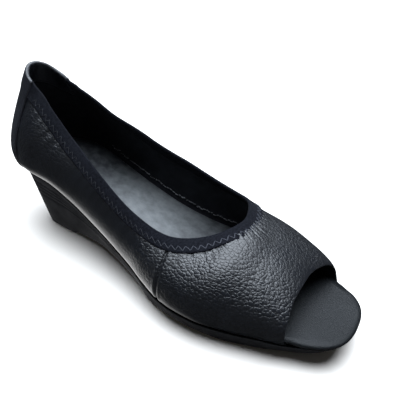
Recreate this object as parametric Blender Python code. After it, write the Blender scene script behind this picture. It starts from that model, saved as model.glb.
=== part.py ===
"""Right shoe of a pair of open-toed wedge pumps, standing empty on its sole.

The shoe is drawn in millimetres with x along the foot from the heel's back (0) to the toe, y towards the inner side
of the foot and z up from the floor, and is then scaled to metres and moved over the origin.
"""
import collections
import math

import bpy
import numpy as np

# Driving sizes, in millimetres
HEEL_CENTRE_X = 34.0
HEEL_BACK_TOP_X = 11.0
HEEL_BACK_TREAD_X = 27.0
HEEL_TOP_DEPTH = 24.0
HEEL_TREAD_DEPTH = 15.0
TOE_TIP_TOP_X = 243.6
TOE_TIP_TREAD_X = 239.5
TOE_DEPTH = 38.0
HEEL_ROUNDNESS = 2.2
TOE_ROUNDNESS = 2.6
WALL = 1.8
GAP = 0.3
EDGE_GAP = 0.5
LAP_UNDER = 2.5
INSOLE_THICK = 3.8
INSOLE_STEP = 2.3
RIM_BULGE = 1.0
RIM_START = 0.8
TOE_CLEAR = 1.1
TOE_CLEAR_RUN = 24.0
RIM_BLEND = 9.0
STRIP_THICK = 1.0
STRIP_GAP = 0.44
BAND_OUTER_LEG = 9.0
BAND_INNER_LEG = 7.0
STAY_INNER_LEG = 13.0
STAY_INNER_TURN = 0.073
STAY_OUTER_TURN = 0.942
STAY_BAND_GAP = 0.0016
RIDGE_TURN = 5
RIDGE_SWELL = 1.13
RIDGE_BLEND = 0.2
FOLD_SIDE = 0.75
FOLD_RISE = 0.72
MM = 0.001

# Mesh steps
STAY_COLUMNS = 8
SIDE_COLUMNS = 32
FRONT_COLUMNS = 12
WALL_SHARES = (0, 0.07, 0.15, 0.25, 0.36, 0.48, 0.61, 0.74, 0.87)
FOOT_STEPS = (11.0, 7.8, 5.2, 2.6, 0)
STAY_LEVELS = 12
BAND_LEVELS = 4
SOLE_STATIONS = 44
HEEL_STATIONS = 12
INSOLE_STATIONS = 32
TOE_STATIONS = 14
SOLE_RINGS = 4
PROFILE_STEPS = 120
GIRTH = 40.0

# Top of the sole along the foot, and its tread
HeightRow = collections.namedtuple("HeightRow", "x z")
SEAT = [HeightRow(*row) for row in (
    (-8, 38.7), (28, 38.7), (44, 37.3), (62, 32.6), (90, 24.0), (118, 16.3), (144, 11.5),
    (165, 9.9), (185, 9.6), (205, 10.3), (225, 11.6), (248, 13.0),
)]
TREAD = [HeightRow(*row) for row in (
    (15, 0), (58, 0), (62, 1.6), (84, 3.6), (106, 3.2), (125, 1.4), (138, 0), (184, 0),
    (200, 1.1), (219, 3.4), (232, 5.4), (241, 6.9),
)]
# Line between the two sides, over the ridge of the vamp
LineRow = collections.namedtuple("LineRow", "x y")
CENTRE = [LineRow(*row) for row in (
    (-8, 0), (60, 0), (110, 1), (140, 3), (165, 4.5), (190, 3.5), (210, 2.5), (250, 2),
)]
# Half widths of the sole from y = 0 to its outer and inner side, before heel and toe are rounded off
WidthRow = collections.namedtuple("WidthRow", "x outer inner")
SOLE_TOP = [WidthRow(*row) for row in (
    (0, 27.2, 27.2), (38, 27.2, 27.2), (62, 28.2, 27.6), (90, 31.6, 28.4), (118, 37.6, 31.2), (132, 42.5, 34.0),
    (145, 46.2, 37.0), (155, 47.4, 39.0), (168, 46.8, 41.0), (185, 42.4, 41.2), (205, 35.6, 39.4), (215, 32.8, 36.6),
    (228, 29.6, 31.4), (248, 30.0, 31.4),
)]
SOLE_TREAD = [WidthRow(*row) for row in (
    (15, 19.5, 19.5), (60, 19.9, 19.5), (83, 21.5, 19.5), (106, 27.5, 22.5), (125, 34.0, 27.5), (140, 40.2, 32.5),
    (160, 42.0, 36.8), (180, 39.7, 37.4), (200, 33.6, 35.0), (219, 27.6, 29.5), (242, 26.0, 27.6),
)]
# Sections of the upper. over: overhang past the sole's top; belly: height of the widest point; ridge: height at which
# the two sides would meet; full: roundness of the curve between.
SectionRow = collections.namedtuple(
    "SectionRow", "x over_outer over_inner belly ridge_outer ridge_inner full_outer full_inner")
SECTIONS = [SectionRow(*row) for row in (
    (34, 5.6, 5.6, 10, 50, 54, 1.7, 1.7),
    (58, 3.4, 3.4, 9, 40, 49.5, 1.8, 1.9),
    (85, 2.4, 2.6, 8, 39.5, 59, 2.0, 2.0),
    (112, 1.8, 2.4, 7, 38, 70, 2.0, 2.0),
    (139, 1.4, 2.2, 7, 34.8, 57, 2.0, 2.0),
    (158, 1.3, 2.2, 7, 36, 45.5, 2.0, 2.0),
    (170, 1.3, 2.0, 7, 38.5, 38.5, 2.05, 2.35),
    (190, 1.4, 1.8, 6, 30.8, 30.8, 2.2, 2.7),
    (210, 1.5, 1.6, 5, 22.8, 22.8, 2.4, 2.75),
    (228, 1.5, 1.5, 5, 15.5, 15.5, 2.5, 2.6),
)]
# Profile of the heel's back: distances from the heel's centre
BackRow = collections.namedtuple("BackRow", "widest belly ridge full")
BACK = BackRow(35.0, 18.0, 98.0, 1.6)
# Collar edge: where each point stands (angle round the heel in degrees, or x) and its height over the sole's top.
# lead moves the matching point of the lower edge forward.
CollarRow = collections.namedtuple("CollarRow", "turn side where height lead")
COLLAR = [CollarRow(*row) for row in (
    (0.000, "back", 0, 60.4, 0),
    (0.0145, "back", 11, 59.6, 16),
    (0.029, "back", 22, 57.6, 32),
    (0.0455, "back", 32.5, 54.8, 48.5),
    (0.062, "back", 45, 52.1, 64),
    (0.075, "back", 60, 49.6, 76),
    (0.088, "back", 79, 47.5, 88),
    (0.101, "inner", 36, 46.3, 39),
    (0.164, "inner", 58, 41.4, 60),
    (0.235, "inner", 84, 38.7, 92),
    (0.303, "inner", 108, 38.0, 128),
    (0.372, "inner", 134, 36.6, 175),
    (0.437, "inner", 156, 36.3, 227),
    (0.500, "ridge", 168.5, 0, 211.5),
    (0.563, "outer", 158, 33.6, 216),
    (0.617, "outer", 139, 28.5, 172),
    (0.690, "outer", 112, 27.6, 128),
    (0.764, "outer", 85, 30.1, 92),
    (0.839, "outer", 58, 33.5, 60),
    (0.900, "outer", 36, 43.1, 39),
    (0.914, "back", -79, 45.7, -88),
    (0.928, "back", -59, 48.5, -76.5),
    (0.942, "back", -42.5, 51.6, -64),
    (0.9565, "back", -30.5, 54.8, -48.5),
    (0.971, "back", -21, 57.6, -32),
    (0.9855, "back", -10.5, 59.6, -16),
)]
CORNER_INNER = 0.437
CORNER_OUTER = 0.563
# Toe opening: x of its edge against the share of the girth, from the inner corner over the ridge to the outer one
OpeningRow = collections.namedtuple("OpeningRow", "girth x")
OPENING = [OpeningRow(*row) for row in (
    (-1, 216), (-0.7, 214), (-0.35, 211.5), (0, 211.5), (0.35, 215), (0.7, 221), (1, 227),
)]
# Edge of the footbed in front of the toe opening: height share and bulge share
RimRow = collections.namedtuple("RimRow", "height bulge")
RIM = [RimRow(*row) for row in ((0, -0.6), (0.3, 0.6), (0.6, 1.0), (0.87, 0.35), (1.0, -1.3))]

MaterialRow = collections.namedtuple("MaterialRow", "node colour roughness")
MATERIALS = [MaterialRow(*row) for row in (
    ("sole", (0.018, 0.018, 0.020), 0.62),
    ("insole", (0.030, 0.031, 0.034), 0.55),
    ("upper", (0.010, 0.011, 0.014), 0.38),
    ("topline_band", (0.009, 0.010, 0.015), 0.85),
    ("back_stay", (0.010, 0.011, 0.014), 0.40),
)]


def smooth(rows, column, x):
    """Monotone cubic through one column of a table whose first column rises."""
    knots = np.array([row[0] for row in rows], float)
    values = np.array([getattr(row, column) for row in rows], float)
    step = np.diff(knots)
    slope = np.diff(values) / step
    tangent = np.zeros(len(knots))
    tangent[0], tangent[-1] = slope[0], slope[-1]
    same = slope[:-1] * slope[1:] > 0
    first, second = 2 * step[1:] + step[:-1], step[1:] + 2 * step[:-1]
    safe_a = np.where(same, slope[:-1], 1)
    safe_b = np.where(same, slope[1:], 1)
    tangent[1:-1] = np.where(same, (first + second) / (first / safe_a + second / safe_b), 0)
    x = np.clip(np.asarray(x, float), knots[0], knots[-1])
    cell = np.clip(np.searchsorted(knots, x, side="right") - 1, 0, len(step) - 1)
    t = (x - knots[cell]) / step[cell]
    rise = values[cell + 1] - values[cell]
    near, far = tangent[cell] * step[cell], tangent[cell + 1] * step[cell]
    return values[cell] + t * (near + t * (3 * rise - 2 * near - far + t * (near + far - 2 * rise)))


def ease(x, start, end):
    t = np.clip((np.asarray(x, float) - start) / (end - start), 0, 1)
    return t * t * (3 - 2 * t)


def rounded_end(distance, depth, power):
    """Share of the full width at this distance from a rounded end."""
    t = np.clip(np.asarray(distance, float) / depth, 0, 1)
    return (1 - (1 - t) ** power) ** (1 / power)


def side_name(sign):
    return "outer" if sign < 0 else "inner"


def half_width(rows, column, x, heel, toe, heel_depth):
    """Half width from y = 0, with the toe and the heel rounded round the centre line."""
    centre = smooth(CENTRE, "y", x)
    lean = centre if column == "inner" else -centre
    cap = rounded_end(x - heel, heel_depth, HEEL_ROUNDNESS) * rounded_end(toe - x, TOE_DEPTH, TOE_ROUNDNESS)
    return lean + (smooth(rows, column, x) - lean) * cap


def top_half_width(column, x):
    return half_width(SOLE_TOP, column, x, HEEL_BACK_TOP_X, TOE_TIP_TOP_X, HEEL_TOP_DEPTH)


def tread_half_width(column, x):
    return half_width(SOLE_TREAD, column, x, HEEL_BACK_TREAD_X, TOE_TIP_TREAD_X, HEEL_TREAD_DEPTH)


def seat(x):
    return smooth(SEAT, "z", x)


def side_section(column, x):
    """Foot, widest half width, belly height, ridge height and roundness of one side's section, from the centre line."""
    centre = smooth(CENTRE, "y", x)
    ahead = np.maximum(x, HEEL_CENTRE_X)
    cap = rounded_end(TOE_TIP_TOP_X - ahead, TOE_DEPTH, TOE_ROUNDNESS)
    lean = centre if column == "inner" else -centre
    edge = (smooth(SOLE_TOP, column, ahead) - lean) * cap
    widest = edge + smooth(SECTIONS, "over_" + column, ahead)
    return np.stack([
        edge - LAP_UNDER,
        widest,
        smooth(SECTIONS, "belly", ahead),
        smooth(SECTIONS, "ridge_" + column, ahead),
        smooth(SECTIONS, "full_" + column, ahead),
    ], -1)


def section_at(flat):
    """Section, direction from the centre line and share of the girth for points of the flat pattern.

    The flat pattern runs along x, with the girth across, and turns round the heel's centre behind it.
    """
    flat = np.asarray(flat, float)
    behind = np.maximum(HEEL_CENTRE_X - flat[..., 0], 0) / HEEL_CENTRE_X
    across = flat[..., 1] / GIRTH
    share = np.hypot(behind, across)
    angle = np.arctan2(across, behind)
    angle = np.where(share < 1e-9, 0.0, angle)
    x = np.maximum(flat[..., 0], HEEL_CENTRE_X)
    outer, inner = side_section("outer", x), side_section("inner", x)
    inner_part = ease(across, -RIDGE_BLEND, RIDGE_BLEND)[..., None]
    section = outer * (1 - inner_part) + inner * inner_part
    rear = HEEL_CENTRE_X - HEEL_BACK_TOP_X
    back = np.array([rear - LAP_UNDER, BACK.widest, BACK.belly, BACK.ridge, BACK.full])
    cosine = np.cos(angle)[..., None] * (behind > 0)[..., None]
    turned = cosine ** np.array([2, 2, 2, RIDGE_TURN, 2])
    turned[..., 3:4] += RIDGE_SWELL * (cosine * (1 - cosine)) ** 2
    section = section * (1 - turned) + back * turned
    return section, x, angle, share


def profile(section, share):
    """Distance from the centre line and height at this share of the girth: 1 at the foot of the wall, 0 at the ridge."""
    foot, widest, belly, ridge, full = (section[..., k, None] for k in range(5))
    turn = np.linspace(0, math.pi / 2, PROFILE_STEPS)
    low_out = foot + (widest - foot) * np.sin(turn)
    low_up = belly * (1 - np.cos(turn))
    high_out = widest * np.clip(np.cos(turn), 0, 1) ** (2 / full)
    high_up = belly + (ridge - belly) * np.sin(turn) ** (2 / full)
    out = np.concatenate([low_out, high_out[..., 1:]], -1)
    up = np.concatenate([low_up, high_up[..., 1:]], -1)
    run = np.hypot(np.diff(out, axis=-1), np.diff(up, axis=-1))
    length = np.concatenate([np.zeros(run.shape[:-1] + (1,)), np.cumsum(run, -1)], -1)
    wanted = np.clip(1 - share, -0.05, 1)[..., None] * length[..., -1:]
    cell = np.clip((length <= wanted).sum(-1) - 1, 0, run.shape[-1] - 1)[..., None]
    start = np.take_along_axis(length, cell, -1)
    t = (wanted - start) / np.take_along_axis(run, cell, -1)
    pick = [np.take_along_axis(a, cell, -1) * (1 - t) + np.take_along_axis(a, cell + 1, -1) * t for a in (out, up)]
    return pick[0][..., 0], pick[1][..., 0]


def wall_point(flat):
    """Outer face of the upper at points of the flat pattern."""
    section, x, angle, share = section_at(flat)
    out, up = profile(section, share)
    px = x - out * np.cos(angle) * (np.asarray(flat)[..., 0] < HEEL_CENTRE_X)
    py = smooth(CENTRE, "y", x) + out * np.sin(angle)
    return np.stack([px, py, seat(px) + GAP + up], -1)


def wall_normal(flat):
    """Outward unit normal of the upper's outer face."""
    flat = np.asarray(flat, float)
    step = 0.25
    along = wall_point(flat + [step, 0]) - wall_point(flat - [step, 0])
    across = wall_point(flat + [0, step]) - wall_point(flat - [0, step])
    normal = np.cross(along, across)
    return normal / np.linalg.norm(normal, axis=-1, keepdims=True)


def flat_of(side, where, share):
    if side == "back":
        angle = math.radians(where)
        return np.array([HEEL_CENTRE_X * (1 - share * math.cos(angle)), GIRTH * share * math.sin(angle)])
    sign = {"inner": 1, "outer": -1, "ridge": 0}[side]
    return np.array([where, sign * GIRTH * share])


def flat_at_height(side, where, height):
    """Point of the flat pattern at this height over the sole's top, on the upper part of the wall."""
    if side == "ridge":
        return flat_of(side, where, 0)
    share = np.linspace(0.02, 0.9, 600)
    points = np.array([flat_of(side, where, s) for s in share])
    section, _, _, _ = section_at(points)
    up = profile(section, share)[1]
    return points[np.argmin(np.abs(up - height))]


def loop_curve(turns, points):
    """Closed cubic curve through points at these turns, 0 to 1."""
    count = len(turns)
    knots = np.concatenate([np.array(turns[-2:]) - 1, turns, np.array(turns[:2]) + 1])
    values = np.concatenate([points[-2:], points, points[:2]])
    tangent = np.zeros_like(values)
    tangent[1:-1] = (values[2:] - values[:-2]) / (knots[2:] - knots[:-2])[:, None]

    def at(turn):
        turn = np.mod(np.asarray(turn, float), 1)
        cell = np.clip(np.searchsorted(knots, turn, side="right") - 1, 1, count + 1)
        step = (knots[cell + 1] - knots[cell])[..., None]
        t = (turn[..., None] - knots[cell][..., None]) / step
        rise = values[cell + 1] - values[cell]
        near, far = tangent[cell] * step, tangent[cell + 1] * step
        return values[cell] + t * (near + t * (3 * rise - 2 * near - far + t * (near + far - 2 * rise)))

    return at


TURNS = [row.turn for row in COLLAR]
collar_edge = loop_curve(TURNS, np.array([flat_at_height(row.side, row.where, row.height) for row in COLLAR]))


KnotRow = collections.namedtuple("KnotRow", "turn along")


def lower_edge(turn):
    """Flat pattern of the upper's other edge: the foot of the wall, and the toe opening between the two corners."""
    turn = np.mod(np.asarray(turn, float), 1)
    reach = math.pi / 2 * HEEL_CENTRE_X
    inner = [KnotRow(0.0, 0.0)]
    outer = [KnotRow(0.0, 0.0)]
    for row in COLLAR[1:]:
        length = abs(row.lead) / 90 * reach if row.side == "back" else reach + row.lead - HEEL_CENTRE_X
        if row.turn <= CORNER_INNER:
            inner.append(KnotRow(row.turn, length))
        if row.turn >= CORNER_OUTER:
            outer.append(KnotRow(1 - row.turn, length))
    outer.sort(key=lambda row: row.turn)
    along = np.where(turn < 0.5, smooth(inner, "along", turn), smooth(outer, "along", 1 - turn))
    sign = np.where(turn < 0.5, 1.0, -1.0)
    angle = np.clip(along / reach, 0, 1) * math.pi / 2
    ahead = np.maximum(along - reach, 0)
    foot = np.stack([HEEL_CENTRE_X * (1 - np.cos(angle)) + ahead, sign * GIRTH * np.sin(angle)], -1)
    girth = 1 - 2 * np.clip((turn - CORNER_INNER) / (CORNER_OUTER - CORNER_INNER), 0, 1)
    opening = np.stack([smooth(OPENING, "x", girth), GIRTH * girth], -1)
    in_opening = (turn > CORNER_INNER) & (turn < CORNER_OUTER)
    return np.where(in_opening[..., None], opening, foot)


def column(turn, t):
    """Flat pattern at this turn, t running from the collar's edge (0) to the lower edge (1)."""
    top, low = collar_edge(turn), lower_edge(turn)
    t = np.asarray(t, float)[..., None]
    return top + (low - top) * t


def column_runs(turn):
    """Distances down the wall from the collar's edge, along the column at each turn, and the shares they stand at."""
    steps = np.linspace(0, 1, 160)
    turn = np.asarray(turn, float)
    grid = wall_point(column(turn[:, None] + 0 * steps, turn[:, None] * 0 + steps))
    run = np.cumsum(np.linalg.norm(np.diff(grid, axis=1), axis=-1), 1)
    return np.concatenate([np.zeros((len(turn), 1)), run], 1), steps


def column_share(turn, distance):
    """Share of each column at this distance down the wall from the collar's edge."""
    runs, steps = column_runs(turn)
    return np.array([np.interp(distance, run, steps) for run in runs])


def wall_levels(turn):
    """Shares of each column at which the wall is stepped: evenly below the collar, then close over the curled foot."""
    runs, steps = column_runs(turn)
    foot = np.array([[np.interp(run[-1] - up, run, steps) for up in FOOT_STEPS] for run in runs])
    return np.concatenate([np.array(WALL_SHARES) * foot[:, :1], foot], 1)


def column_turns():
    """Turns of the columns, in three runs: round the front between the edges of the back stay, and the back stay's
    inner and outer half. One column stands on each corner of the toe opening."""
    front = np.concatenate([
        np.linspace(STAY_INNER_TURN, CORNER_INNER, SIDE_COLUMNS, endpoint=False),
        np.linspace(CORNER_INNER, CORNER_OUTER, FRONT_COLUMNS, endpoint=False),
        np.linspace(CORNER_OUTER, STAY_OUTER_TURN, SIDE_COLUMNS + 1),
    ])
    inner_half = np.linspace(0, STAY_INNER_TURN, STAY_COLUMNS, endpoint=False)
    outer_half = np.linspace(STAY_OUTER_TURN, 1, STAY_COLUMNS, endpoint=False)[1:]
    return front, inner_half, outer_half


def sheet_solid(outer, inner, ring, crossed):
    """Closed mesh between two grids of points, whose rows form a ring or have two ends. Crossed cells are split along
    their other diagonal."""
    rows, columns, _ = outer.shape
    points = np.concatenate([outer.reshape(-1, 3), inner.reshape(-1, 3)])
    faces = []
    lift = rows * columns
    for i in range(rows if ring else rows - 1):
        k = (i + 1) % rows
        for j in range(columns - 1):
            a, b, c, d = i * columns + j, k * columns + j, k * columns + j + 1, i * columns + j + 1
            halves = ((a, b, d), (b, c, d)) if crossed[i, j] else ((a, b, c), (a, c, d))
            for half in halves:
                faces.append(half)
                faces.append(tuple(corner + lift for corner in half[::-1]))
        first, second = i * columns, k * columns
        last_first, last_second = first + columns - 1, second + columns - 1
        faces.append((first + lift, second + lift, second, first))
        faces.append((last_first, last_second, last_second + lift, last_first + lift))
    if not ring:
        end = (rows - 1) * columns
        for j in range(columns - 1):
            faces.append((j, j + 1, j + 1 + lift, j + lift))
            faces.append((end + j + 1, end + j, end + j + lift, end + j + 1 + lift))
    return points, faces


def upper_mesh():
    front, inner_half, outer_half = column_turns()
    turns = np.concatenate([inner_half, front, outer_half])
    t = wall_levels(turns)
    flat = column(turns[:, None] + 0 * t, t)
    outer = wall_point(flat)
    inner = outer - wall_normal(flat) * WALL
    following = np.roll(outer, -1, axis=0)
    straight = np.linalg.norm(following[:, 1:] - outer[:, :-1], axis=-1)
    other = np.linalg.norm(following[:, :-1] - outer[:, 1:], axis=-1)
    front_row = (turns > STAY_INNER_TURN) & (turns < STAY_OUTER_TURN)
    below_band = np.arange(t.shape[1] - 1) >= BAND_LEVELS
    crossed = front_row[:, None] & below_band & (other < straight)
    return sheet_solid(outer, inner, True, crossed)


def folded_strip(turn, outer_levels, inner_levels):
    """Strip folded over the collar's edge along columns at these turns. Each level is a row of shares of the columns,
    from the strip's outer edge up to the collar and then down inside."""
    top = column(turn, 0 * turn)
    edge, normal = wall_point(top), wall_normal(top)
    up = edge - wall_point(column(turn, 0 * turn + 0.04))
    up /= np.linalg.norm(up, axis=-1, keepdims=True)

    def sheet(out_offset, in_offset, rise, side, lift):
        rows = []
        for t in outer_levels:
            flat = column(turn, t)
            rows.append(wall_point(flat) + wall_normal(flat) * out_offset)
        rows.append(edge + normal * (out_offset * side) + up * (rise * lift))
        rows.append(edge - normal * (WALL / 2) + up * rise)
        rows.append(edge - normal * (WALL + (in_offset - WALL) * side) + up * (rise * lift))
        for t in inner_levels:
            flat = column(turn, t)
            rows.append(wall_point(flat) - wall_normal(flat) * in_offset)
        return np.stack(rows, 1)

    far = STRIP_GAP + STRIP_THICK
    face = sheet(far, WALL + far, far, FOLD_SIDE, FOLD_RISE)
    back = sheet(STRIP_GAP, WALL + STRIP_GAP, STRIP_GAP, 1.0, 1.0)
    # Past the fold the cells are crossed, so that they match those of the wall's inner face.
    past_fold = np.arange(face.shape[1] - 1) > len(outer_levels)
    return sheet_solid(face, back, False, np.tile(past_fold, (len(turn), 1)))


def band_mesh():
    turn = column_turns()[0][::-1].copy()
    turn[0] -= STAY_BAND_GAP
    turn[-1] += STAY_BAND_GAP
    outer = column_share(turn, BAND_OUTER_LEG)
    inner = column_share(turn, BAND_INNER_LEG)
    return folded_strip(
        turn,
        [outer * s for s in np.linspace(1, 0, 4)],
        [inner * s for s in np.linspace(0, 1, 3)],
    )


def stay_mesh():
    """Strip down the heel's back, folded over the collar's edge."""
    front, inner_half, outer_half = column_turns()
    turn = np.concatenate([front[-1:], outer_half, inner_half, front[:1]])[::-1]
    inner = column_share(turn, STAY_INNER_LEG)
    return folded_strip(
        turn,
        list(wall_levels(turn).T[:STAY_LEVELS][::-1]),
        [inner * s for s in np.linspace(0, 1, 4)],
    )


def stations(start, end):
    turn = np.linspace(0, math.pi, SOLE_STATIONS + 1)
    return start + (end - start) * (1 - np.cos(turn)) / 2


def layered_solid(layers):
    """Closed mesh through layers, each a pair of edges (outer side, inner side) over the same stations, from the
    lowest to the highest. The ends of the two edges meet at heel and toe."""
    count = len(layers[0][0])
    rings = [np.concatenate([outer, inner[-2:0:-1]]) for outer, inner in layers]
    size = len(rings[0])
    points = np.concatenate(rings)
    faces = []
    for level in range(len(rings) - 1):
        for j in range(size):
            k = (j + 1) % size
            a, b = level * size + j, level * size + k
            faces.append((a, b, b + size, a + size))
    for level, flip in ((0, True), (len(rings) - 1, False)):
        base = level * size
        for j in range(count - 1):
            outer_a, outer_b = base + j, base + j + 1
            inner_a, inner_b = base + (size - j) % size, base + (size - j - 1) % size
            face = (outer_a, outer_b, inner_b, inner_a)
            face = tuple(dict.fromkeys(face))
            faces.append(face[::-1] if flip else face)
    return points, faces


def sole_mesh():
    top_x = stations(HEEL_BACK_TOP_X, TOE_TIP_TOP_X)
    low_x = stations(HEEL_BACK_TREAD_X, TOE_TIP_TREAD_X)
    layers = []
    for share in np.linspace(0, 1, SOLE_RINGS + 1):
        x = low_x + (top_x - low_x) * share
        z = smooth(TREAD, "z", low_x) * (1 - share) + seat(top_x) * share
        edges = []
        for sign in (-1, 1):
            name = side_name(sign)
            width = tread_half_width(name, low_x) * (1 - share) + top_half_width(name, top_x) * share
            edges.append(np.stack([x, sign * width, z], -1))
        for edge in edges:
            edge[[0, -1], 1] = (edges[0][[0, -1], 1] + edges[1][[0, -1], 1]) / 2
        layers.append(edges)
    return layered_solid(layers)


def inner_face(flat, heights):
    """Distances from the centre line at which edges at these heights clear the wall's inner face by a gap. The points
    of the flat pattern stand on the foot of the wall."""
    share = np.linspace(1, 0.5, 30)
    slide = np.linspace(-4, 4, 5)
    result = np.zeros((len(heights), len(flat)))
    middle = np.array([HEEL_CENTRE_X, 0.0])
    for i, point in enumerate(flat):
        ahead = point[0] >= HEEL_CENTRE_X
        if ahead:
            cells = np.stack([point[0] + slide[:, None] + 0 * share, point[1] * share + 0 * slide[:, None]], -1)
        else:
            cells = (middle + (point - middle) * share[:, None])[None]
        faces = wall_point(cells) - wall_normal(cells) * (WALL + EDGE_GAP)
        up = faces[..., 2] - seat(faces[..., 0]) - GAP
        if ahead:
            out = np.abs(faces[..., 1] - smooth(CENTRE, "y", faces[..., 0]))
            out = np.array([np.interp(point[0], faces[:, k, 0], out[:, k]) for k in range(len(share))])
            up = np.array([np.interp(point[0], faces[:, k, 0], up[:, k]) for k in range(len(share))])
        else:
            out, up = np.hypot(faces[0, :, 0] - HEEL_CENTRE_X, faces[0, :, 1]), up[0]
        result[:, i] = np.interp(heights, up, out)
    return result


def insole_edge(sign):
    """Edges of the footbed on one side, from its underside up. Inside the upper they follow the wall's inner face, and
    in front of the toe opening they form a full rim."""
    name = side_name(sign)
    corner = OPENING[0].x if sign < 0 else OPENING[-1].x
    rim_start = corner + RIM_START
    angle = np.linspace(0, math.pi / 2, HEEL_STATIONS, endpoint=False)
    heel = np.stack([HEEL_CENTRE_X * (1 - np.cos(angle)), sign * GIRTH * np.sin(angle)], -1)
    side_x = np.linspace(HEEL_CENTRE_X, rim_start, INSOLE_STATIONS, endpoint=False)
    toe_share = np.sin(np.linspace(0, math.pi / 2, TOE_STATIONS + 1))
    longest_x = rim_start + (TOE_TIP_TOP_X + RIM_BULGE - rim_start) * toe_share
    ahead_x = np.concatenate([side_x, longest_x])
    flat = np.concatenate([heel, np.stack([ahead_x, 0 * ahead_x + sign * GIRTH], -1)])
    heights = np.array([0.0, INSOLE_STEP, 0.75 * INSOLE_THICK, 0.9 * INSOLE_THICK, INSOLE_THICK])
    section, _, fan, _ = section_at(flat)
    foot = section[:, 0] - EDGE_GAP
    clear = inner_face(flat, heights[2:])
    turned = flat[:, 0] < HEEL_CENTRE_X
    edges = []
    for level, height in enumerate(heights):
        bulge = RIM[level].bulge * RIM_BULGE
        tip = TOE_TIP_TOP_X + bulge
        x = np.concatenate([0 * angle + HEEL_CENTRE_X, side_x, rim_start + (tip - rim_start) * toe_share])
        centre = smooth(CENTRE, "y", x)
        inside = foot if level < 2 else clear[level - 2]
        inside = inside - TOE_CLEAR * ease(x, corner - TOE_CLEAR_RUN, corner - TOE_CLEAR_RUN / 3)
        rim_width = (smooth(SOLE_TOP, name, x) - sign * centre + bulge) * rounded_end(tip - x, TOE_DEPTH, TOE_ROUNDNESS)
        out_front = ease(x, rim_start, corner + RIM_BLEND)
        distance = inside * (1 - out_front) + rim_width * out_front
        rise = height * (1 - out_front) + RIM[level].height * INSOLE_THICK * out_front
        px = x - distance * np.cos(fan) * turned
        py = centre + distance * np.where(turned, np.sin(fan), sign)
        edges.append(np.stack([px, py, seat(px) + GAP + rise], -1))
    return edges


def insole_mesh():
    layers = list(zip(insole_edge(-1), insole_edge(1)))
    for outer, inner in layers:
        middle = (outer[[0, -1]] + inner[[0, -1]]) / 2
        outer[[0, -1]] = middle
        inner[[0, -1]] = middle
    return layered_solid(layers)


def add_node(name, points, faces, shift):
    mesh = bpy.data.meshes.new(name)
    mesh.from_pydata([tuple(p) for p in (points - shift) * MM], [], faces)
    mesh.validate()
    node = bpy.data.objects.new(name, mesh)
    bpy.context.scene.collection.objects.link(node)
    row = next(row for row in MATERIALS if row.node == name)
    material = bpy.data.materials.new(name)
    material.use_nodes = True
    shader = material.node_tree.nodes["Principled BSDF"]
    shader.inputs["Base Color"].default_value = (*row.colour, 1)
    shader.inputs["Roughness"].default_value = row.roughness
    shader.inputs["Metallic"].default_value = 0.0
    material.diffuse_color = (*row.colour, 1)
    mesh.materials.append(material)


def main():
    for old in list(bpy.data.objects):
        bpy.data.objects.remove(old)
    meshes = {
        "sole": sole_mesh(),
        "insole": insole_mesh(),
        "upper": upper_mesh(),
        "topline_band": band_mesh(),
        "back_stay": stay_mesh(),
    }
    cloud = np.concatenate([points for points, _ in meshes.values()])
    low, high = cloud.min(0), cloud.max(0)
    shift = np.array([(low[0] + high[0]) / 2, (low[1] + high[1]) / 2, low[2]])
    for name, (points, faces) in meshes.items():
        add_node(name, points, faces, shift)


main()
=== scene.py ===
"""Looks of the open-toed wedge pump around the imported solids: leather panels, elastic collar, back stay,
footbed and moulded wedge. Shapes are drawn in millimetres in the last's own frame and then moved over the
solids."""

import collections
import math

import bpy
import numpy as np
from mathutils import Matrix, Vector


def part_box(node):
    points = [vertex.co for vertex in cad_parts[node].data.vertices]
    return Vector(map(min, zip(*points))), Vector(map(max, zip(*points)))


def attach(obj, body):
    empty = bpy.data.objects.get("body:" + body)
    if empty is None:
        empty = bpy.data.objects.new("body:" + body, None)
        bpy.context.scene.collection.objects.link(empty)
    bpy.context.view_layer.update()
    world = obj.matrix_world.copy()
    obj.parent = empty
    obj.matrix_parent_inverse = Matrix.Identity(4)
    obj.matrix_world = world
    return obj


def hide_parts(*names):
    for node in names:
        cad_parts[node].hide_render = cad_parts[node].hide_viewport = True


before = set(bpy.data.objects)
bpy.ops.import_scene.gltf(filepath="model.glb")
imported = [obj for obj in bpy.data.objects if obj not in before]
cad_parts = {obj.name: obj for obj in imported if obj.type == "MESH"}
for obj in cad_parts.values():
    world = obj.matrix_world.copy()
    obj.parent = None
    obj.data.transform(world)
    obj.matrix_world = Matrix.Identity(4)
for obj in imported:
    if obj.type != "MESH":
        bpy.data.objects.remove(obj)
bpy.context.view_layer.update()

MM = 0.001

# Sizes shared with the solids
HEEL_CENTRE_X = 34.0
HEEL_BACK_TOP_X = 11.0
HEEL_BACK_TREAD_X = 27.0
HEEL_TOP_DEPTH = 24.0
HEEL_TREAD_DEPTH = 15.0
TOE_TIP_TOP_X = 243.6
TOE_TIP_TREAD_X = 239.5
TOE_DEPTH = 38.0
HEEL_ROUNDNESS = 2.2
TOE_ROUNDNESS = 2.6
WALL = 1.8
GAP = 0.3
LAP_UNDER = 2.5
INSOLE_THICK = 3.8
RIM_BULGE = 1.0
RIM_START = 0.8
RIM_BLEND = 9.0
BAND_OUTER_LEG = 9.0
BAND_INNER_LEG = 7.0
STAY_INNER_LEG = 13.0
STAY_INNER_TURN = 0.073
STAY_OUTER_TURN = 0.942
STAY_FOOT = 2.6
RIDGE_TURN = 5
RIDGE_SWELL = 1.13
RIDGE_BLEND = 0.2
GIRTH = 40.0
CORNER_INNER = 0.437
CORNER_OUTER = 0.563

# Steps along the wall, and searches: first, last and how many
PROFILE_STEPS = 120
PAST_FOOT = 0.05
COLUMN_STEPS = 90
HEIGHT_SEARCH = (0.02, 0.9, 600)
TURN_SEARCH = 800
WIDEST_SEARCH = (150, 215, 400)

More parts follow.
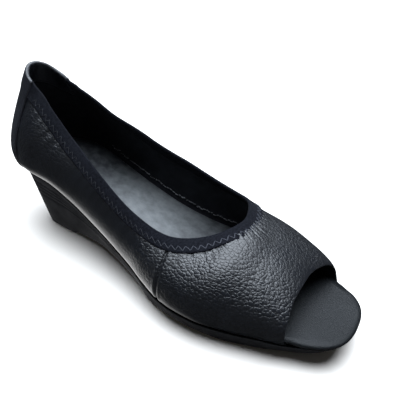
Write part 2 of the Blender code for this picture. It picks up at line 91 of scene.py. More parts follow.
# Leather panels. Here and below, most pairs of numbers say where a change starts and where it ends.
PANEL_STEP = 0.62
PANEL_SAMPLES = 260
PANEL_LEVELS = 46
FOOT_RUN = 11.0
FOOT_LEVELS = 14
FOOT_LEG = 0.8
HEM_LEG = 6.0
HEM_SHARES = (0.2, 0.5, 0.8, 1.0)
HEM_TUCK = 0.4
HEM_GRAIN = 0.5
ROLL_STEPS = 7
ROLL_FLATNESS = 0.8
RIM_DEPTH = 0.7
RIM_TAPER = 16.0
LINING_SKIN = 0.1
SEAM_TOP_X = 141.0
SEAM_FOOT_X = 146.0
SEAM_DEPTH = 0.8
SEAM_WIDTH = 0.75
SEAM_SHOULDER = 0.22
SEAM_SHOULDER_AWAY = 2.0
SEAM_SHOULDER_WIDTH = 1.0
SEAM_PAST_COLLAR = 0.2
SEAM_FINENESS = 2.6
SEAM_FINE_REACH = 3.5
RIDGE_STRIP = 2.0
CROWN_START_X = 166.0
CROWN_RISE = 1.6
CROWN_FADE = (0.35, 0.8)
OPENING_ROLL = 0.7
OPENING_ROLL_REACH = 3.2
OPENING_ROLL_FADE = (0.8, 1.0)
CREASE_IN = (-0.1, 0.25)
CREASE_OUT = (0.75, 1.1)
THROAT_PLACE = 165.0
THROAT_FADE = (40, 70)
SIDE_PUCKERS = 0.35
FAR_AWAY = 99.0

# Share of the full grain over the panels
VAMP_GRAIN_X = (120, 160)
VAMP_GRAIN = 0.5
VAMP_SIDE_GRAIN = 0.4
VAMP_SIDE = (0.1, 0.4)
QUARTER_GRAIN = 0.18
HEEL_PATCH_UP = (6, 16)
FOOT_GRAIN = 0.12
FOOT_GRAIN_UP = (3.0, 11.0)

# Elastic band and its stitching
BAND_COLUMNS = 440
BAND_THICK = 0.7
BAND_LIFT = 0.1
BAND_EDGE_ROUND = 0.9
BAND_UNDER_STAY = 0.005
BAND_ROLL = 0.12
BAND_INSETS = np.array([0, 0.04, 0.16, 0.4, 0.75, 1.2, 1.8, 2.5, 3.3, 4.2, 5.2, 6.2, 7.2, 8.0, 8.5])
BAND_INNER_ROWS = np.array([0.5, 1.8, 3.2, 4.8, 6.2, 6.8, 7.0])
INNER_THICK = 0.55
INNER_LIFT = 0.08
INNER_EDGE_ROUND = 0.8
FOLD_STEPS = 11
FOLD_RUN = 1.2
FOLD_UP_STEP = 0.03
BITE_DEPTH = 0.2
BITE_WIDTH = 1.5
BITE_EVEN = 0.55
ZIGZAG_STEP = 2.1
ZIGZAG_HIGH = 4.6
ZIGZAG_LOW = 7.7
ZIGZAG_MARGIN = 4
ZIGZAG_POINTS = 5
ZIGZAG_SINK = 0.06
ZIGZAG_ARCH = 0.14
ZIGZAG_ARCH_WIDTH = 0.25
THREAD_RADIUS = 0.27
THREAD_SIDES = 6
THREAD_DARK = 0.06
THREAD_PALE = 0.74
THREAD_PALE_FADE = (0.08, 0.16)

# Heel stay
BACK_COLUMNS = 150
BACK_MARGIN = 0.02
STAY_COLUMNS = 91
STAY_LEVELS = 64
STAY_TOP_SHARE = 0.008
STAY_INNER_LEVELS = 14
STAY_THICK = 1.0
STAY_OVER_BAND = 0.55
STAY_STEP_DOWN = (-2, 4)
STAY_SINK = 0.3
STAY_EDGE_ROUND = 0.8
STAY_INNER_OVER_BAND = 0.5
STAY_INNER_SIDE_ROUND = 0.7
STAY_INNER_END_ROUND = 0.9
STAY_GROOVE = 0.5
STAY_GROOVE_WIDTH = 0.7
STAY_GROOVE_SEARCH = 20
STAY_TOP_DRAW = 0.0035
STAY_FOOT_SPREAD = 0.005
STAY_SPREAD = (0.15, 0.7)

# Footbed, sock and the stitches beside it
HEEL_STEPS = 26
SIDE_STEPS = 90
TOE_STEPS = 40
RIM_STEPS = 15
BED_STEPS = 14
BED_INTO_WALL = 0.75
SOCK_END_X = 198.0
SOCK_THICK = 0.45
SOCK_LIFT = 0.05
SOCK_COLUMNS = 41
SOCK_MARGIN = 0.004
SOCK_HALF_WIDTH = 30
SOCK_EDGE_ROUND = 1.5
# Painted light and shade in the sock's tone: darkest at the heel, lit at the waist, shaded again towards the
# front
SOCK_HEEL_PAINTED_SHADE = 0.07
SOCK_WAIST_PAINTED_LIGHT = 0.66
SOCK_WAIST_PAINTED_LIGHT_X = (48, 100)
SOCK_FORE_PAINTED_SHADE = 0.55
SOCK_FORE_PAINTED_SHADE_X = (104, 150)
STITCH_SEED = 7
STITCH_HEIGHT = 5.0
STITCH_POINTS = 6
STITCH_RUNS = ((1, 48, 182), (-1, 48, 176))
STITCH_RUN_STEPS = 90
STITCH_SEARCH = (1, 0.6, 60)
STITCH_START = 0.5
STITCH_END = 3
STITCH_SHORTEST = 0.9
STITCH_LONGER = 1.3
STITCH_THINNEST = 0.3
STITCH_THICKER = 0.2
STITCH_CLOSEST = 0.2
STITCH_WIDER = 0.6
STITCH_STRAY = 1.1
STITCH_ARCH = 0.28
STITCH_SINK = 0.08

# Wedge sole and its fine lines
WEDGE_STEPS = 150
WEDGE_BED_STEPS = 4
LINE_DEPTH = 0.35
LINE_HALF_WIDTH = 0.012
LINE_SHARES = (0.612, 0.692, 0.772, 0.852)
LINE_FADE_X = (70, 130)

# Floor and light. Mirrored rays meet a dark floor with a glow beside the heel.
FLOOR_REACH = 6.0
FLOOR_TONES = ((0.95, 0.89, 0.82), (0.96, 0.90, 0.83))
FLOOR_MIRRORED = (0.03, 0.03, 0.03, 1)
GLOW_STRENGTH = 2.2
GLOW_REACH = (0.105, 0.060)
GLOW_SHIFT = 0.38
GLOW_FADE = (0.8, 1.15)
WORLD_STRENGTH = 0.05
KEY_FROM = (-0.22, 0.26, 0.94)
KEY_STRENGTH = 8.4
KEY_SPREAD = 70
KEY_COLOUR = (0.82, 0.90, 1.0)

# Points worked out at one time
CHUNK = 6000

# Part of a noise's range that its two tones are drawn over, and sockets of a mix of two colours
RAMP_START = 0.3
RAMP_END = 0.7
MIX_FIRST = 6
MIX_SECOND = 7
MIX_RESULT = 2

# Pebbled grain: how far and how finely its cells are warped, their lines with the painted shade in them, and
# their finer bumps
GRAIN_WARP_MM = 1.4
GRAIN_WARP_PER_METRE = 420.0
GRAIN_STRETCH = (0.86, 1.1, 1.0)
GRAIN_RANDOMNESS = 0.95
GRAIN_LINE_WIDTH = 0.2
GRAIN_LINE_RISE = 0.45
GRAIN_LINE_PAINTED_SHADE = 0.45
GRAIN_EVEN_TONE = 0.85
GRAIN_FINE_CELLS = 2.7
GRAIN_FINE_RISE = 0.3
GRAIN_DRIFT_PER_METRE = 45.0
KNIT_RIB_RISE = 0.6
KNIT_RISE = 0.3
KNIT_FLUFF_PER_METRE = 900.0
MM_PER_METRE = 1000.0


def table(columns, *rows):
    """Rows with named columns."""
    kind = collections.namedtuple("Row", columns)
    return [kind(*row) for row in rows]


SEAT = table(
    "x z",
    (-8, 38.7), (28, 38.7), (44, 37.3), (62, 32.6), (90, 24.0), (118, 16.3), (144, 11.5),
    (165, 9.9), (185, 9.6), (205, 10.3), (225, 11.6), (248, 13.0),
)
TREAD = table(
    "x z",
    (15, 0), (58, 0), (62, 1.6), (84, 3.6), (106, 3.2), (125, 1.4), (138, 0), (184, 0),
    (200, 1.1), (219, 3.4), (232, 5.4), (241, 6.9),
)
CENTRE = table(
    "x y",
    (-8, 0), (60, 0), (110, 1), (140, 3), (165, 4.5), (190, 3.5), (210, 2.5), (250, 2),
)
SOLE_TOP = table(
    "x outer inner",
    (0, 27.2, 27.2), (38, 27.2, 27.2), (62, 28.2, 27.6), (90, 31.6, 28.4), (118, 37.6, 31.2),
    (132, 42.5, 34.0), (145, 46.2, 37.0), (155, 47.4, 39.0), (168, 46.8, 41.0), (185, 42.4, 41.2),
    (205, 35.6, 39.4), (215, 32.8, 36.6), (228, 29.6, 31.4), (248, 30.0, 31.4),
)
SOLE_TREAD = table(
    "x outer inner",
    (15, 19.5, 19.5), (60, 19.9, 19.5), (83, 21.5, 19.5), (106, 27.5, 22.5), (125, 34.0, 27.5),
    (140, 40.2, 32.5), (160, 42.0, 36.8), (180, 39.7, 37.4), (200, 33.6, 35.0), (219, 27.6, 29.5),
    (242, 26.0, 27.6),
)
SECTIONS = table(
    "x over_outer over_inner belly ridge_outer ridge_inner full_outer full_inner",
    (34, 5.6, 5.6, 10, 50, 54, 1.7, 1.7),
    (58, 3.4, 3.4, 9, 40, 49.5, 1.8, 1.9),
    (85, 2.4, 2.6, 8, 39.5, 59, 2.0, 2.0),
    (112, 1.8, 2.4, 7, 38, 70, 2.0, 2.0),
    (139, 1.4, 2.2, 7, 34.8, 57, 2.0, 2.0),
    (158, 1.3, 2.2, 7, 36, 45.5, 2.0, 2.0),
    (170, 1.3, 2.0, 7, 38.5, 38.5, 2.05, 2.35),
    (190, 1.4, 1.8, 6, 30.8, 30.8, 2.2, 2.7),
    (210, 1.5, 1.6, 5, 22.8, 22.8, 2.4, 2.75),
    (228, 1.5, 1.5, 5, 15.5, 15.5, 2.5, 2.6),
)
BACK = table("widest belly ridge full", (35.0, 18.0, 98.0, 1.6))[0]
# Collar edge, with the matching point of the lower edge for the strips that lie along it
COLLAR = table(
    "turn side where height lead",
    (0.000, "back", 0, 60.4, 0),
    (0.0145, "back", 11, 59.6, 16),
    (0.029, "back", 22, 57.6, 32),
    (0.0455, "back", 32.5, 54.8, 48.5),
    (0.062, "back", 45, 52.1, 64),
    (0.075, "back", 60, 49.6, 76),
    (0.088, "back", 79, 47.5, 88),
    (0.101, "inner", 36, 46.3, 39),
    (0.164, "inner", 58, 41.4, 60),
    (0.235, "inner", 84, 38.7, 92),
    (0.303, "inner", 108, 38.0, 128),
    (0.372, "inner", 134, 36.6, 175),
    (0.437, "inner", 156, 36.3, 227),
    (0.500, "ridge", 168.5, 0, 211.5),
    (0.563, "outer", 158, 33.6, 216),
    (0.617, "outer", 139, 28.5, 172),
    (0.690, "outer", 112, 27.6, 128),
    (0.764, "outer", 85, 30.1, 92),
    (0.839, "outer", 58, 33.5, 60),
    (0.900, "outer", 36, 43.1, 39),
    (0.914, "back", -79, 45.7, -88),
    (0.928, "back", -59, 48.5, -76.5),
    (0.942, "back", -42.5, 51.6, -64),
    (0.9565, "back", -30.5, 54.8, -48.5),
    (0.971, "back", -21, 57.6, -32),
    (0.9855, "back", -10.5, 59.6, -16),
)
OPENING = table(
    "girth x",
    (-1, 216), (-0.7, 214), (-0.35, 211.5), (0, 211.5), (0.35, 215), (0.7, 221), (1, 227),
)
RIM = table(
    "step height bulge",
    (0, 0, -0.6), (1, 0.3, 0.6), (2, 0.6, 1.0), (3, 0.87, 0.35), (4, 1.0, -1.3),
)

# Camera, in the last's frame
CAMERA_EYE = (241.70, -198.69, 192.25)
CAMERA_YAW, CAMERA_PITCH, CAMERA_ROLL = 27.14, 32.05, -7.95
CAMERA_LENS = 40.713


def cubic(t, start, rise, near, far):
    """Cubic from start, with this rise and these slopes at its ends, for t from 0 to 1."""
    return start + t * (near + t * (3 * rise - 2 * near - far + t * (near + far - 2 * rise)))


def smooth(rows, column, x):
    """Monotone cubic through one column of a table whose first column rises."""
    knots = np.array([row[0] for row in rows], float)
    values = np.array([getattr(row, column) for row in rows], float)
    step = np.diff(knots)
    slope = np.diff(values) / step
    tangent = np.zeros(len(knots))
    tangent[0], tangent[-1] = slope[0], slope[-1]
    same = slope[:-1] * slope[1:] > 0
    first, second = 2 * step[1:] + step[:-1], step[1:] + 2 * step[:-1]
    safe_a = np.where(same, slope[:-1], 1)
    safe_b = np.where(same, slope[1:], 1)
    tangent[1:-1] = np.where(same, (first + second) / (first / safe_a + second / safe_b), 0)
    x = np.clip(np.asarray(x, float), knots[0], knots[-1])
    cell = np.clip(np.searchsorted(knots, x, side="right") - 1, 0, len(step) - 1)
    t = (x - knots[cell]) / step[cell]
    slopes = tangent[cell] * step[cell], tangent[cell + 1] * step[cell]
    return cubic(t, values[cell], values[cell + 1] - values[cell], *slopes)


def ease(x, start, end):
    t = np.clip((np.asarray(x, float) - start) / (end - start), 0, 1)
    return t * t * (3 - 2 * t)


def hump(x, width):
    return np.exp(-(np.asarray(x, float) / width) ** 2)


def rounded_end(distance, depth, power):
    """Share of the full width at this distance from a rounded end."""
    t = np.clip(np.asarray(distance, float) / depth, 0, 1)
    return (1 - (1 - t) ** power) ** (1 / power)


def half_width(rows, column, x, heel, toe, heel_depth):
    """Half width from y = 0, with the toe and the heel rounded round the centre line."""
    centre = smooth(CENTRE, "y", x)
    lean = centre if column == "inner" else -centre
    cap = rounded_end(x - heel, heel_depth, HEEL_ROUNDNESS) * rounded_end(toe - x, TOE_DEPTH, TOE_ROUNDNESS)
    return lean + (smooth(rows, column, x) - lean) * cap


def top_half_width(column, x):
    return half_width(SOLE_TOP, column, x, HEEL_BACK_TOP_X, TOE_TIP_TOP_X, HEEL_TOP_DEPTH)


def tread_half_width(column, x):
    return half_width(SOLE_TREAD, column, x, HEEL_BACK_TREAD_X, TOE_TIP_TREAD_X, HEEL_TREAD_DEPTH)


def seat(x):
    return smooth(SEAT, "z", x)


def side_section(column, x):
    """Foot, widest half width, belly height, ridge height and roundness of one side's section. Widths are
    measured from the centre line."""
    centre = smooth(CENTRE, "y", x)
    ahead = np.maximum(x, HEEL_CENTRE_X)
    cap = rounded_end(TOE_TIP_TOP_X - ahead, TOE_DEPTH, TOE_ROUNDNESS)
    lean = centre if column == "inner" else -centre
    edge = (smooth(SOLE_TOP, column, ahead) - lean) * cap
    widest = edge + smooth(SECTIONS, "over_" + column, ahead)
    return np.stack([
        edge - LAP_UNDER,
        widest,
        smooth(SECTIONS, "belly", ahead),
        smooth(SECTIONS, "ridge_" + column, ahead),
        smooth(SECTIONS, "full_" + column, ahead),
    ], -1)


def section_at(flat):
    """Section, place along the foot, direction and share of the girth for points of the flat pattern. The
    pattern runs along x with the girth across, and turns round the heel's centre behind it."""
    flat = np.asarray(flat, float)
    behind = np.maximum(HEEL_CENTRE_X - flat[..., 0], 0) / HEEL_CENTRE_X
    across = flat[..., 1] / GIRTH
    share = np.hypot(behind, across)
    angle = np.arctan2(across, behind)
    angle = np.where(share < 1e-9, 0.0, angle)
    x = np.maximum(flat[..., 0], HEEL_CENTRE_X)
    outer, inner = side_section("outer", x), side_section("inner", x)
    inner_part = ease(across, -RIDGE_BLEND, RIDGE_BLEND)[..., None]
    section = outer * (1 - inner_part) + inner * inner_part
    rear = HEEL_CENTRE_X - HEEL_BACK_TOP_X
    back = np.array([rear - LAP_UNDER, BACK.widest, BACK.belly, BACK.ridge, BACK.full])
    cosine = np.cos(angle)[..., None] * (behind > 0)[..., None]
    turned = cosine ** np.array([2, 2, 2, RIDGE_TURN, 2])
    turned[..., 3:4] += RIDGE_SWELL * (cosine * (1 - cosine)) ** 2
    section = section * (1 - turned) + back * turned
    return section, x, angle, share


def profile(section, share):
    """Distance from the centre line, and height, at a share of the girth: 1 is the foot, 0 the ridge."""
    foot, widest, belly, ridge, full = (section[..., k, None] for k in range(5))
    turn = np.linspace(0, math.pi / 2, PROFILE_STEPS)
    low_out = foot + (widest - foot) * np.sin(turn)
    low_up = belly * (1 - np.cos(turn))
    high_out = widest * np.clip(np.cos(turn), 0, 1) ** (2 / full)
    high_up = belly + (ridge - belly) * np.sin(turn) ** (2 / full)
    out = np.concatenate([low_out, high_out[..., 1:]], -1)
    up = np.concatenate([low_up, high_up[..., 1:]], -1)
    run = np.hypot(np.diff(out, axis=-1), np.diff(up, axis=-1))
    length = np.concatenate([np.zeros(run.shape[:-1] + (1,)), np.cumsum(run, -1)], -1)
    wanted = np.clip(1 - share, -PAST_FOOT, 1)[..., None] * length[..., -1:]
    cell = np.clip((length <= wanted).sum(-1) - 1, 0, run.shape[-1] - 1)[..., None]
    start = np.take_along_axis(length, cell, -1)
    t = (wanted - start) / np.take_along_axis(run, cell, -1)
    before = [np.take_along_axis(values, cell, -1) for values in (out, up)]
    after = [np.take_along_axis(values, cell + 1, -1) for values in (out, up)]
    return tuple((a * (1 - t) + b * t)[..., 0] for a, b in zip(before, after))


def wall_point(flat):
    """Outer face of the upper at points of the flat pattern."""
    flat = np.asarray(flat, float)
    rows = flat.reshape(-1, 2)
    parts = []
    for start in range(0, len(rows), CHUNK):
        some = rows[start:start + CHUNK]
        section, x, angle, share = section_at(some)
        out, up = profile(section, share)
        px = x - out * np.cos(angle) * (some[:, 0] < HEEL_CENTRE_X)
        py = smooth(CENTRE, "y", x) + out * np.sin(angle)
        parts.append(np.stack([px, py, seat(px) + GAP + up], -1))
    return np.concatenate(parts).reshape(flat.shape[:-1] + (3,))


def unit(vectors):
    return vectors / np.maximum(np.linalg.norm(vectors, axis=-1, keepdims=True), 1e-9)


def wall_normal(flat):
    """Outward unit normal of the upper's outer face."""
    flat = np.asarray(flat, float)
    step = 0.25
    along = wall_point(flat + [step, 0]) - wall_point(flat - [step, 0])
    across = wall_point(flat + [0, step]) - wall_point(flat - [0, step])
    return unit(np.cross(along, across))


def raised(flat, height):
    """Points at this height over the upper's outer face."""
    return wall_point(flat) + wall_normal(flat) * np.asarray(height)[..., None]


def flat_of(side, where, share):
    if side == "back":
        angle = math.radians(where)
        return np.array([HEEL_CENTRE_X * (1 - share * math.cos(angle)), GIRTH * share * math.sin(angle)])
    sign = {"inner": 1, "outer": -1, "ridge": 0}[side]
    return np.array([where, sign * GIRTH * share])


def flat_at_height(side, where, height):
    """Point of the flat pattern at this height over the sole's top, on the upper part of the wall."""
    if side == "ridge":
        return flat_of(side, where, 0)
    share = np.linspace(*HEIGHT_SEARCH)
    points = np.array([flat_of(side, where, s) for s in share])
    section, _, _, _ = section_at(points)
    up = profile(section, share)[1]
    return points[np.argmin(np.abs(up - height))]


def loop_curve(turns, points):
    """Closed cubic curve through points at these turns, 0 to 1."""
    count = len(turns)
    knots = np.concatenate([np.array(turns[-2:]) - 1, turns, np.array(turns[:2]) + 1])
    values = np.concatenate([points[-2:], points, points[:2]])
    tangent = np.zeros_like(values)
    tangent[1:-1] = (values[2:] - values[:-2]) / (knots[2:] - knots[:-2])[:, None]

    def at(turn):
        turn = np.mod(np.asarray(turn, float), 1)
        cell = np.clip(np.searchsorted(knots, turn, side="right") - 1, 1, count + 1)
        step = (knots[cell + 1] - knots[cell])[..., None]
        t = (turn[..., None] - knots[cell][..., None]) / step
        slopes = tangent[cell] * step, tangent[cell + 1] * step
        return cubic(t, values[cell], values[cell + 1] - values[cell], *slopes)

    return at


collar_edge = loop_curve(
    [row.turn for row in COLLAR],
    np.array([flat_at_height(row.side, row.where, row.height) for row in COLLAR]),
)


def turn_at_x(x, first, last):
    """Turn between these two at which the collar's edge stands at x."""
    turns = np.linspace(first, last, TURN_SEARCH)
    return float(turns[np.argmin(np.abs(collar_edge(turns)[:, 0] - x))])


SEAM_INNER = turn_at_x(SEAM_TOP_X, first=0.30, last=0.43)
SEAM_OUTER = turn_at_x(SEAM_TOP_X, first=0.57, last=0.70)

# Where the panels' columns meet the lower edge: one column runs down each seam between vamp and quarter
PANEL_LEADS = table(
    "turn side lead",
    (0.029, "back", 38), (0.062, "back", 76), (0.101, "inner", 42), (0.164, "inner", 63),
    (0.235, "inner", 89), (0.303, "inner", 114),
    (SEAM_INNER, "inner", SEAM_FOOT_X), (CORNER_INNER, "inner", 227),
    (CORNER_OUTER, "outer", 216), (SEAM_OUTER, "outer", SEAM_FOOT_X),
    (0.690, "outer", 117), (0.764, "outer", 90),
    (0.839, "outer", 63), (0.900, "outer", 41), (0.942, "back", -76), (0.971, "back", -38),
)
HEEL_REACH = math.pi / 2 * HEEL_CENTRE_X


def lead_knots(rows):
    """Distances along the foot of the wall from the back, by turn, for the inner and the outer side."""
    inner, outer = [(0.0, 0.0)], [(0.0, 0.0)]
    for row in rows:
        at_back = row.side == "back"
        length = abs(row.lead) / 90 * HEEL_REACH if at_back else HEEL_REACH + row.lead - HEEL_CENTRE_X
        if 0 < row.turn <= CORNER_INNER:
            inner.append((row.turn, length))
        if row.turn >= CORNER_OUTER:
            outer.append((1 - row.turn, length))
    return table("turn along", *inner), table("turn along", *sorted(outer))


STRIP_KNOTS = lead_knots(COLLAR)
PANEL_KNOTS = lead_knots(PANEL_LEADS)


def lower_edge(turn, knots):
    """Flat pattern of the upper's lower edge: the foot of the wall, and the toe opening's edge."""
    turn = np.mod(np.asarray(turn, float), 1)
    inner, outer = knots
    along = np.where(turn < 0.5, smooth(inner, "along", turn), smooth(outer, "along", 1 - turn))
    sign = np.where(turn < 0.5, 1.0, -1.0)
    angle = np.clip(along / HEEL_REACH, 0, 1) * math.pi / 2
    ahead = np.maximum(along - HEEL_REACH, 0)
    foot = np.stack([HEEL_CENTRE_X * (1 - np.cos(angle)) + ahead, sign * GIRTH * np.sin(angle)], -1)
    girth = 1 - 2 * np.clip((turn - CORNER_INNER) / (CORNER_OUTER - CORNER_INNER), 0, 1)
    opening = np.stack([smooth(OPENING, "x", girth), GIRTH * girth], -1)
    in_opening = (turn > CORNER_INNER) & (turn < CORNER_OUTER)
    return np.where(in_opening[..., None], opening, foot)


def column(turn, t, knots):
    """Flat pattern at this turn, t running from the collar's edge (0) to the lower edge (1)."""
    top, low = collar_edge(turn), lower_edge(turn, knots)
    t = np.asarray(t, float)[..., None]
    return top + (low - top) * t


def run_along(points, axis=0):
    """Distance of each point from the first, along the way through the points between."""
    run = np.cumsum(np.linalg.norm(np.diff(points, axis=axis), axis=-1), axis)
    return np.concatenate([np.zeros_like(np.take(run, [0], axis)), run], axis)


def column_runs(turn, knots):
    """Distances down the wall from the collar's edge, along the column at each turn, and the shares of the
    column that they stand at."""
    steps = np.linspace(0, 1, COLUMN_STEPS)
    turn = np.asarray(turn, float)
    grid = wall_point(column(turn[:, None] + 0 * steps, turn[:, None] * 0 + steps, knots))
    return run_along(grid, 1), steps


def ripple(place, pitch):
    """Uneven wave along an edge, between -1 and 1: two waves that drift against each other."""
    phase = 2 * math.pi * place / pitch
    quick = np.sin(phase + 1.3 * np.sin(phase * 0.137 + 0.4))
    slow = np.sin(phase * 0.61 + 2.1 * np.sin(phase * 0.083))
    return 0.6 * quick + 0.4 * slow


# From the last's frame to that of the solids, by the sole's back and its widest place on the inner side
INNER_REACH = float(np.max(top_half_width("inner", np.linspace(*WIDEST_SEARCH))))
SHIFT = np.array([
    HEEL_BACK_TOP_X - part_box("sole")[0].x / MM,
    INNER_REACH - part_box("sole")[1].y / MM,
    0.0,
])


def placed(points):
    """Points of the last's frame, in metres over the solids."""
    return (np.asarray(points, float).reshape(-1, 3) - SHIFT) * MM


def grid_faces(rows, columns, ring=False):
    """Faces of a grid of points kept row by row. In a ring the last row joins the first."""
    faces = []
    for i in range(rows if ring else rows - 1):
        k = (i + 1) % rows
        for j in range(columns - 1):
            faces.append((i * columns + j, k * columns + j, k * columns + j + 1, i * columns + j + 1))
    return faces


def turned_over(faces):
    """The same faces, seen from their other side."""
    return [face[::-1] for face in faces]


def add_object(name, data):
    thing = bpy.data.objects.new(name, data)
    bpy.context.scene.collection.objects.link(thing)
    return thing


def add_piece(name, points, faces, material, fields=None, stands_for=None):
    """Smooth-shaded piece on the shoe's body. fields are named values, or vectors, kept on its points."""
    mesh = bpy.data.meshes.new(name)
    mesh.from_pydata([tuple(p) for p in placed(points)], [], faces)
    for field, values in (fields or {}).items():
        values = np.asarray(values, np.float32)
        is_vector = values.ndim > 1
        layer = mesh.attributes.new(field, "FLOAT_VECTOR" if is_vector else "FLOAT", "POINT")
        layer.data.foreach_set("vector" if is_vector else "value", values.ravel())
    mesh.polygons.foreach_set("use_smooth", [True] * len(mesh.polygons))
    mesh.materials.append(material)
    mesh.update()
    piece = add_object(name, mesh)
    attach(piece, "root")
    if stands_for:
        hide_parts(stands_for)


def tube(path, normals, radius, sides):
    """Round thread along a path, closed at both ends, as its points and faces."""
    path = np.asarray(path, float)
    along = unit(np.gradient(path, axis=0))
    across = unit(np.cross(along, normals))
    lift = np.cross(across, along)
    angle = np.linspace(0, 2 * math.pi, sides, endpoint=False)[:, None]
    rings = path[:, None] + radius * (np.cos(angle) * across[:, None] + np.sin(angle) * lift[:, None])
    faces = []
    for i in range(len(path) - 1):
        for j in range(sides):
            k = (j + 1) % sides
            faces.append((i * sides + k, i * sides + j, (i + 1) * sides + j, (i + 1) * sides + k))
    last = (len(path) - 1) * sides
    faces.append(tuple(range(sides)))
    faces.append(tuple(last + j for j in range(sides))[::-1])
    return rings.reshape(-1, 3), faces


# Shader groups and materials
def new_group(name, inputs, outputs):
    """Empty node group. Named numbers go in, each with a first value, and named numbers come out."""
    group = bpy.data.node_groups.new(name, "ShaderNodeTree")
    for label, value in inputs.items():
        group.interface.new_socket(label, in_out="INPUT", socket_type="NodeSocketFloat").default_value = value
    for label in outputs:
        group.interface.new_socket(label, in_out="OUTPUT", socket_type="NodeSocketFloat")
    return group, group.nodes.new("NodeGroupInput"), group.nodes.new("NodeGroupOutput")


def fill(tree, node, values):
    """Puts values in a node's sockets. Outputs of other nodes are linked there."""
    for key, value in values.items():
        if isinstance(value, bpy.types.NodeSocket):
            tree.links.new(value, node.inputs[key])
        else:
            node.inputs[key].default_value = value


def add_node(tree, kind, values=None, **settings):
    """Node with these settings, and with these values in its sockets."""
    node = tree.nodes.new(kind)
    for key, value in settings.items():
        setattr(node, key, value)
    fill(tree, node, values or {})
    return node


def math_node(tree, operation, *terms):
    return add_node(tree, "ShaderNodeMath", dict(enumerate(terms)), operation=operation).outputs["Value"]


def vector_node(tree, operation, *terms):
    return add_node(tree, "ShaderNodeVectorMath", dict(enumerate(terms)), operation=operation).outputs


def ranged(tree, value, low, high, start=RAMP_START, end=RAMP_END, course="LINEAR"):
    """value between start and end, drawn out to low and high."""
    values = {"Value": value, "From Min": start, "From Max": end, "To Min": low, "To Max": high}
    return add_node(tree, "ShaderNodeMapRange", values, interpolation_type=course).outputs["Result"]


def object_place(tree):
    return add_node(tree, "ShaderNodeTexCoord").outputs["Object"]


def field_value(tree, name):
    return add_node(tree, "ShaderNodeAttribute", attribute_name=name).outputs["Fac"]


def leather_grain_group():
    """Pebbled grain: round pebbles, sunken lines between with painted shade, finer bumps over them, a
    wandering tone.
    """
    tree, entry, result = new_group("leather_grain", {"Cell Size mm": 2.2, "Amount": 1.0}, ("Height", "Tone"))
    amount = entry.outputs["Amount"]
    place = object_place(tree)
    warp = add_node(
        tree, "ShaderNodeTexNoise", {"Vector": place, "Scale": GRAIN_WARP_PER_METRE, "Detail": 3.0})
    pull = vector_node(tree, "MULTIPLY", warp.outputs["Color"], 3 * (GRAIN_WARP_MM * MM,))
    stretch = vector_node(tree, "MULTIPLY", place, GRAIN_STRETCH)
    moved = vector_node(tree, "ADD", stretch[0], pull[0])[0]
    per_metre = math_node(tree, "DIVIDE", MM_PER_METRE, entry.outputs["Cell Size mm"])
    fine_per_metre = math_node(tree, "MULTIPLY", per_metre, GRAIN_FINE_CELLS)

    def cells(feature, scale):
        values = {"Vector": moved, "Scale": scale, "Randomness": GRAIN_RANDOMNESS}
        return add_node(tree, "ShaderNodeTexVoronoi", values, feature=feature).outputs["Distance"]

    lines = ranged(tree, cells("DISTANCE_TO_EDGE", per_metre), 0.0, 1.0, 0.0, GRAIN_LINE_WIDTH, "SMOOTHSTEP")
    from_middle = cells("F1", per_metre)
    hollow = math_node(tree, "MULTIPLY", from_middle, from_middle)
    fine = math_node(tree, "MULTIPLY", cells("SMOOTH_F1", fine_per_metre), GRAIN_FINE_RISE)
    pebbles = math_node(tree, "SUBTRACT", math_node(tree, "MULTIPLY", lines, GRAIN_LINE_RISE), hollow)
    pebbles = math_node(tree, "SUBTRACT", pebbles, fine)
    drift = add_node(
        tree, "ShaderNodeTexNoise",
        {"Vector": place, "Scale": GRAIN_DRIFT_PER_METRE, "Detail": 5.0, "Roughness": 0.6})
    # Painted shade: the tone is darkened along the sunken lines between the pebbles
    shade = math_node(tree, "SUBTRACT", lines, GRAIN_EVEN_TONE)
    shade = math_node(tree, "MULTIPLY", shade, GRAIN_LINE_PAINTED_SHADE)
    shade = math_node(tree, "MULTIPLY", shade, amount)
    fill(tree, result, {
        "Height": math_node(tree, "MULTIPLY", pebbles, amount),
        "Tone": math_node(tree, "ADD", drift.outputs["Fac"], shade),
    })
    return tree


def knit_group():
    """Ribbed knit over a pair of coordinates in millimetres, along and across the strip."""
    tree, entry, result = new_group("knit", {"Rib mm": 0.9, "Stitch mm": 0.7}, ("Height", "Tone"))
    place = add_node(tree, "ShaderNodeAttribute", attribute_name="strip_mm")
    strip = add_node(tree, "ShaderNodeSeparateXYZ", {0: place.outputs["Vector"]})

    def phase(axis, size):
        turns = math_node(tree, "DIVIDE", strip.outputs[axis], entry.outputs[size])
        return math_node(tree, "MULTIPLY", turns, 2 * math.pi)

    ribs = math_node(tree, "SINE", phase("Y", "Rib mm"))
    wave = math_node(tree, "SINE", math_node(tree, "ADD", phase("X", "Stitch mm"), ribs))
    height = math_node(tree, "ADD", math_node(tree, "MULTIPLY", ribs, KNIT_RIB_RISE), wave)
    fluff = add_node(
        tree, "ShaderNodeTexNoise",
        {"Vector": object_place(tree), "Scale": KNIT_FLUFF_PER_METRE, "Detail": 4.0})
    fill(tree, result, {
        "Height": math_node(tree, "MULTIPLY", height, KNIT_RISE),
        "Tone": fluff.outputs["Fac"],
    })
    return tree


def mottle_group():
    """Uneven tone and fine roughness of a worked surface."""
    tree, entry, result = new_group("mottle", {"Cloud mm": 12.0, "Speck mm": 0.6}, ("Height", "Tone"))
    place = object_place(tree)
    for label, size in (("Tone", "Cloud mm"), ("Height", "Speck mm")):
        per_metre = math_node(tree, "DIVIDE", MM_PER_METRE, entry.outputs[size])
        noise = add_node(
            tree, "ShaderNodeTexNoise",
            {"Vector": place, "Scale": per_metre, "Detail": 4.0, "Roughness": 0.6})
        fill(tree, result, {label: noise.outputs["Fac"]})
    return tree


LEATHER_GRAIN = leather_grain_group()
KNIT = knit_group()
MOTTLE = mottle_group()


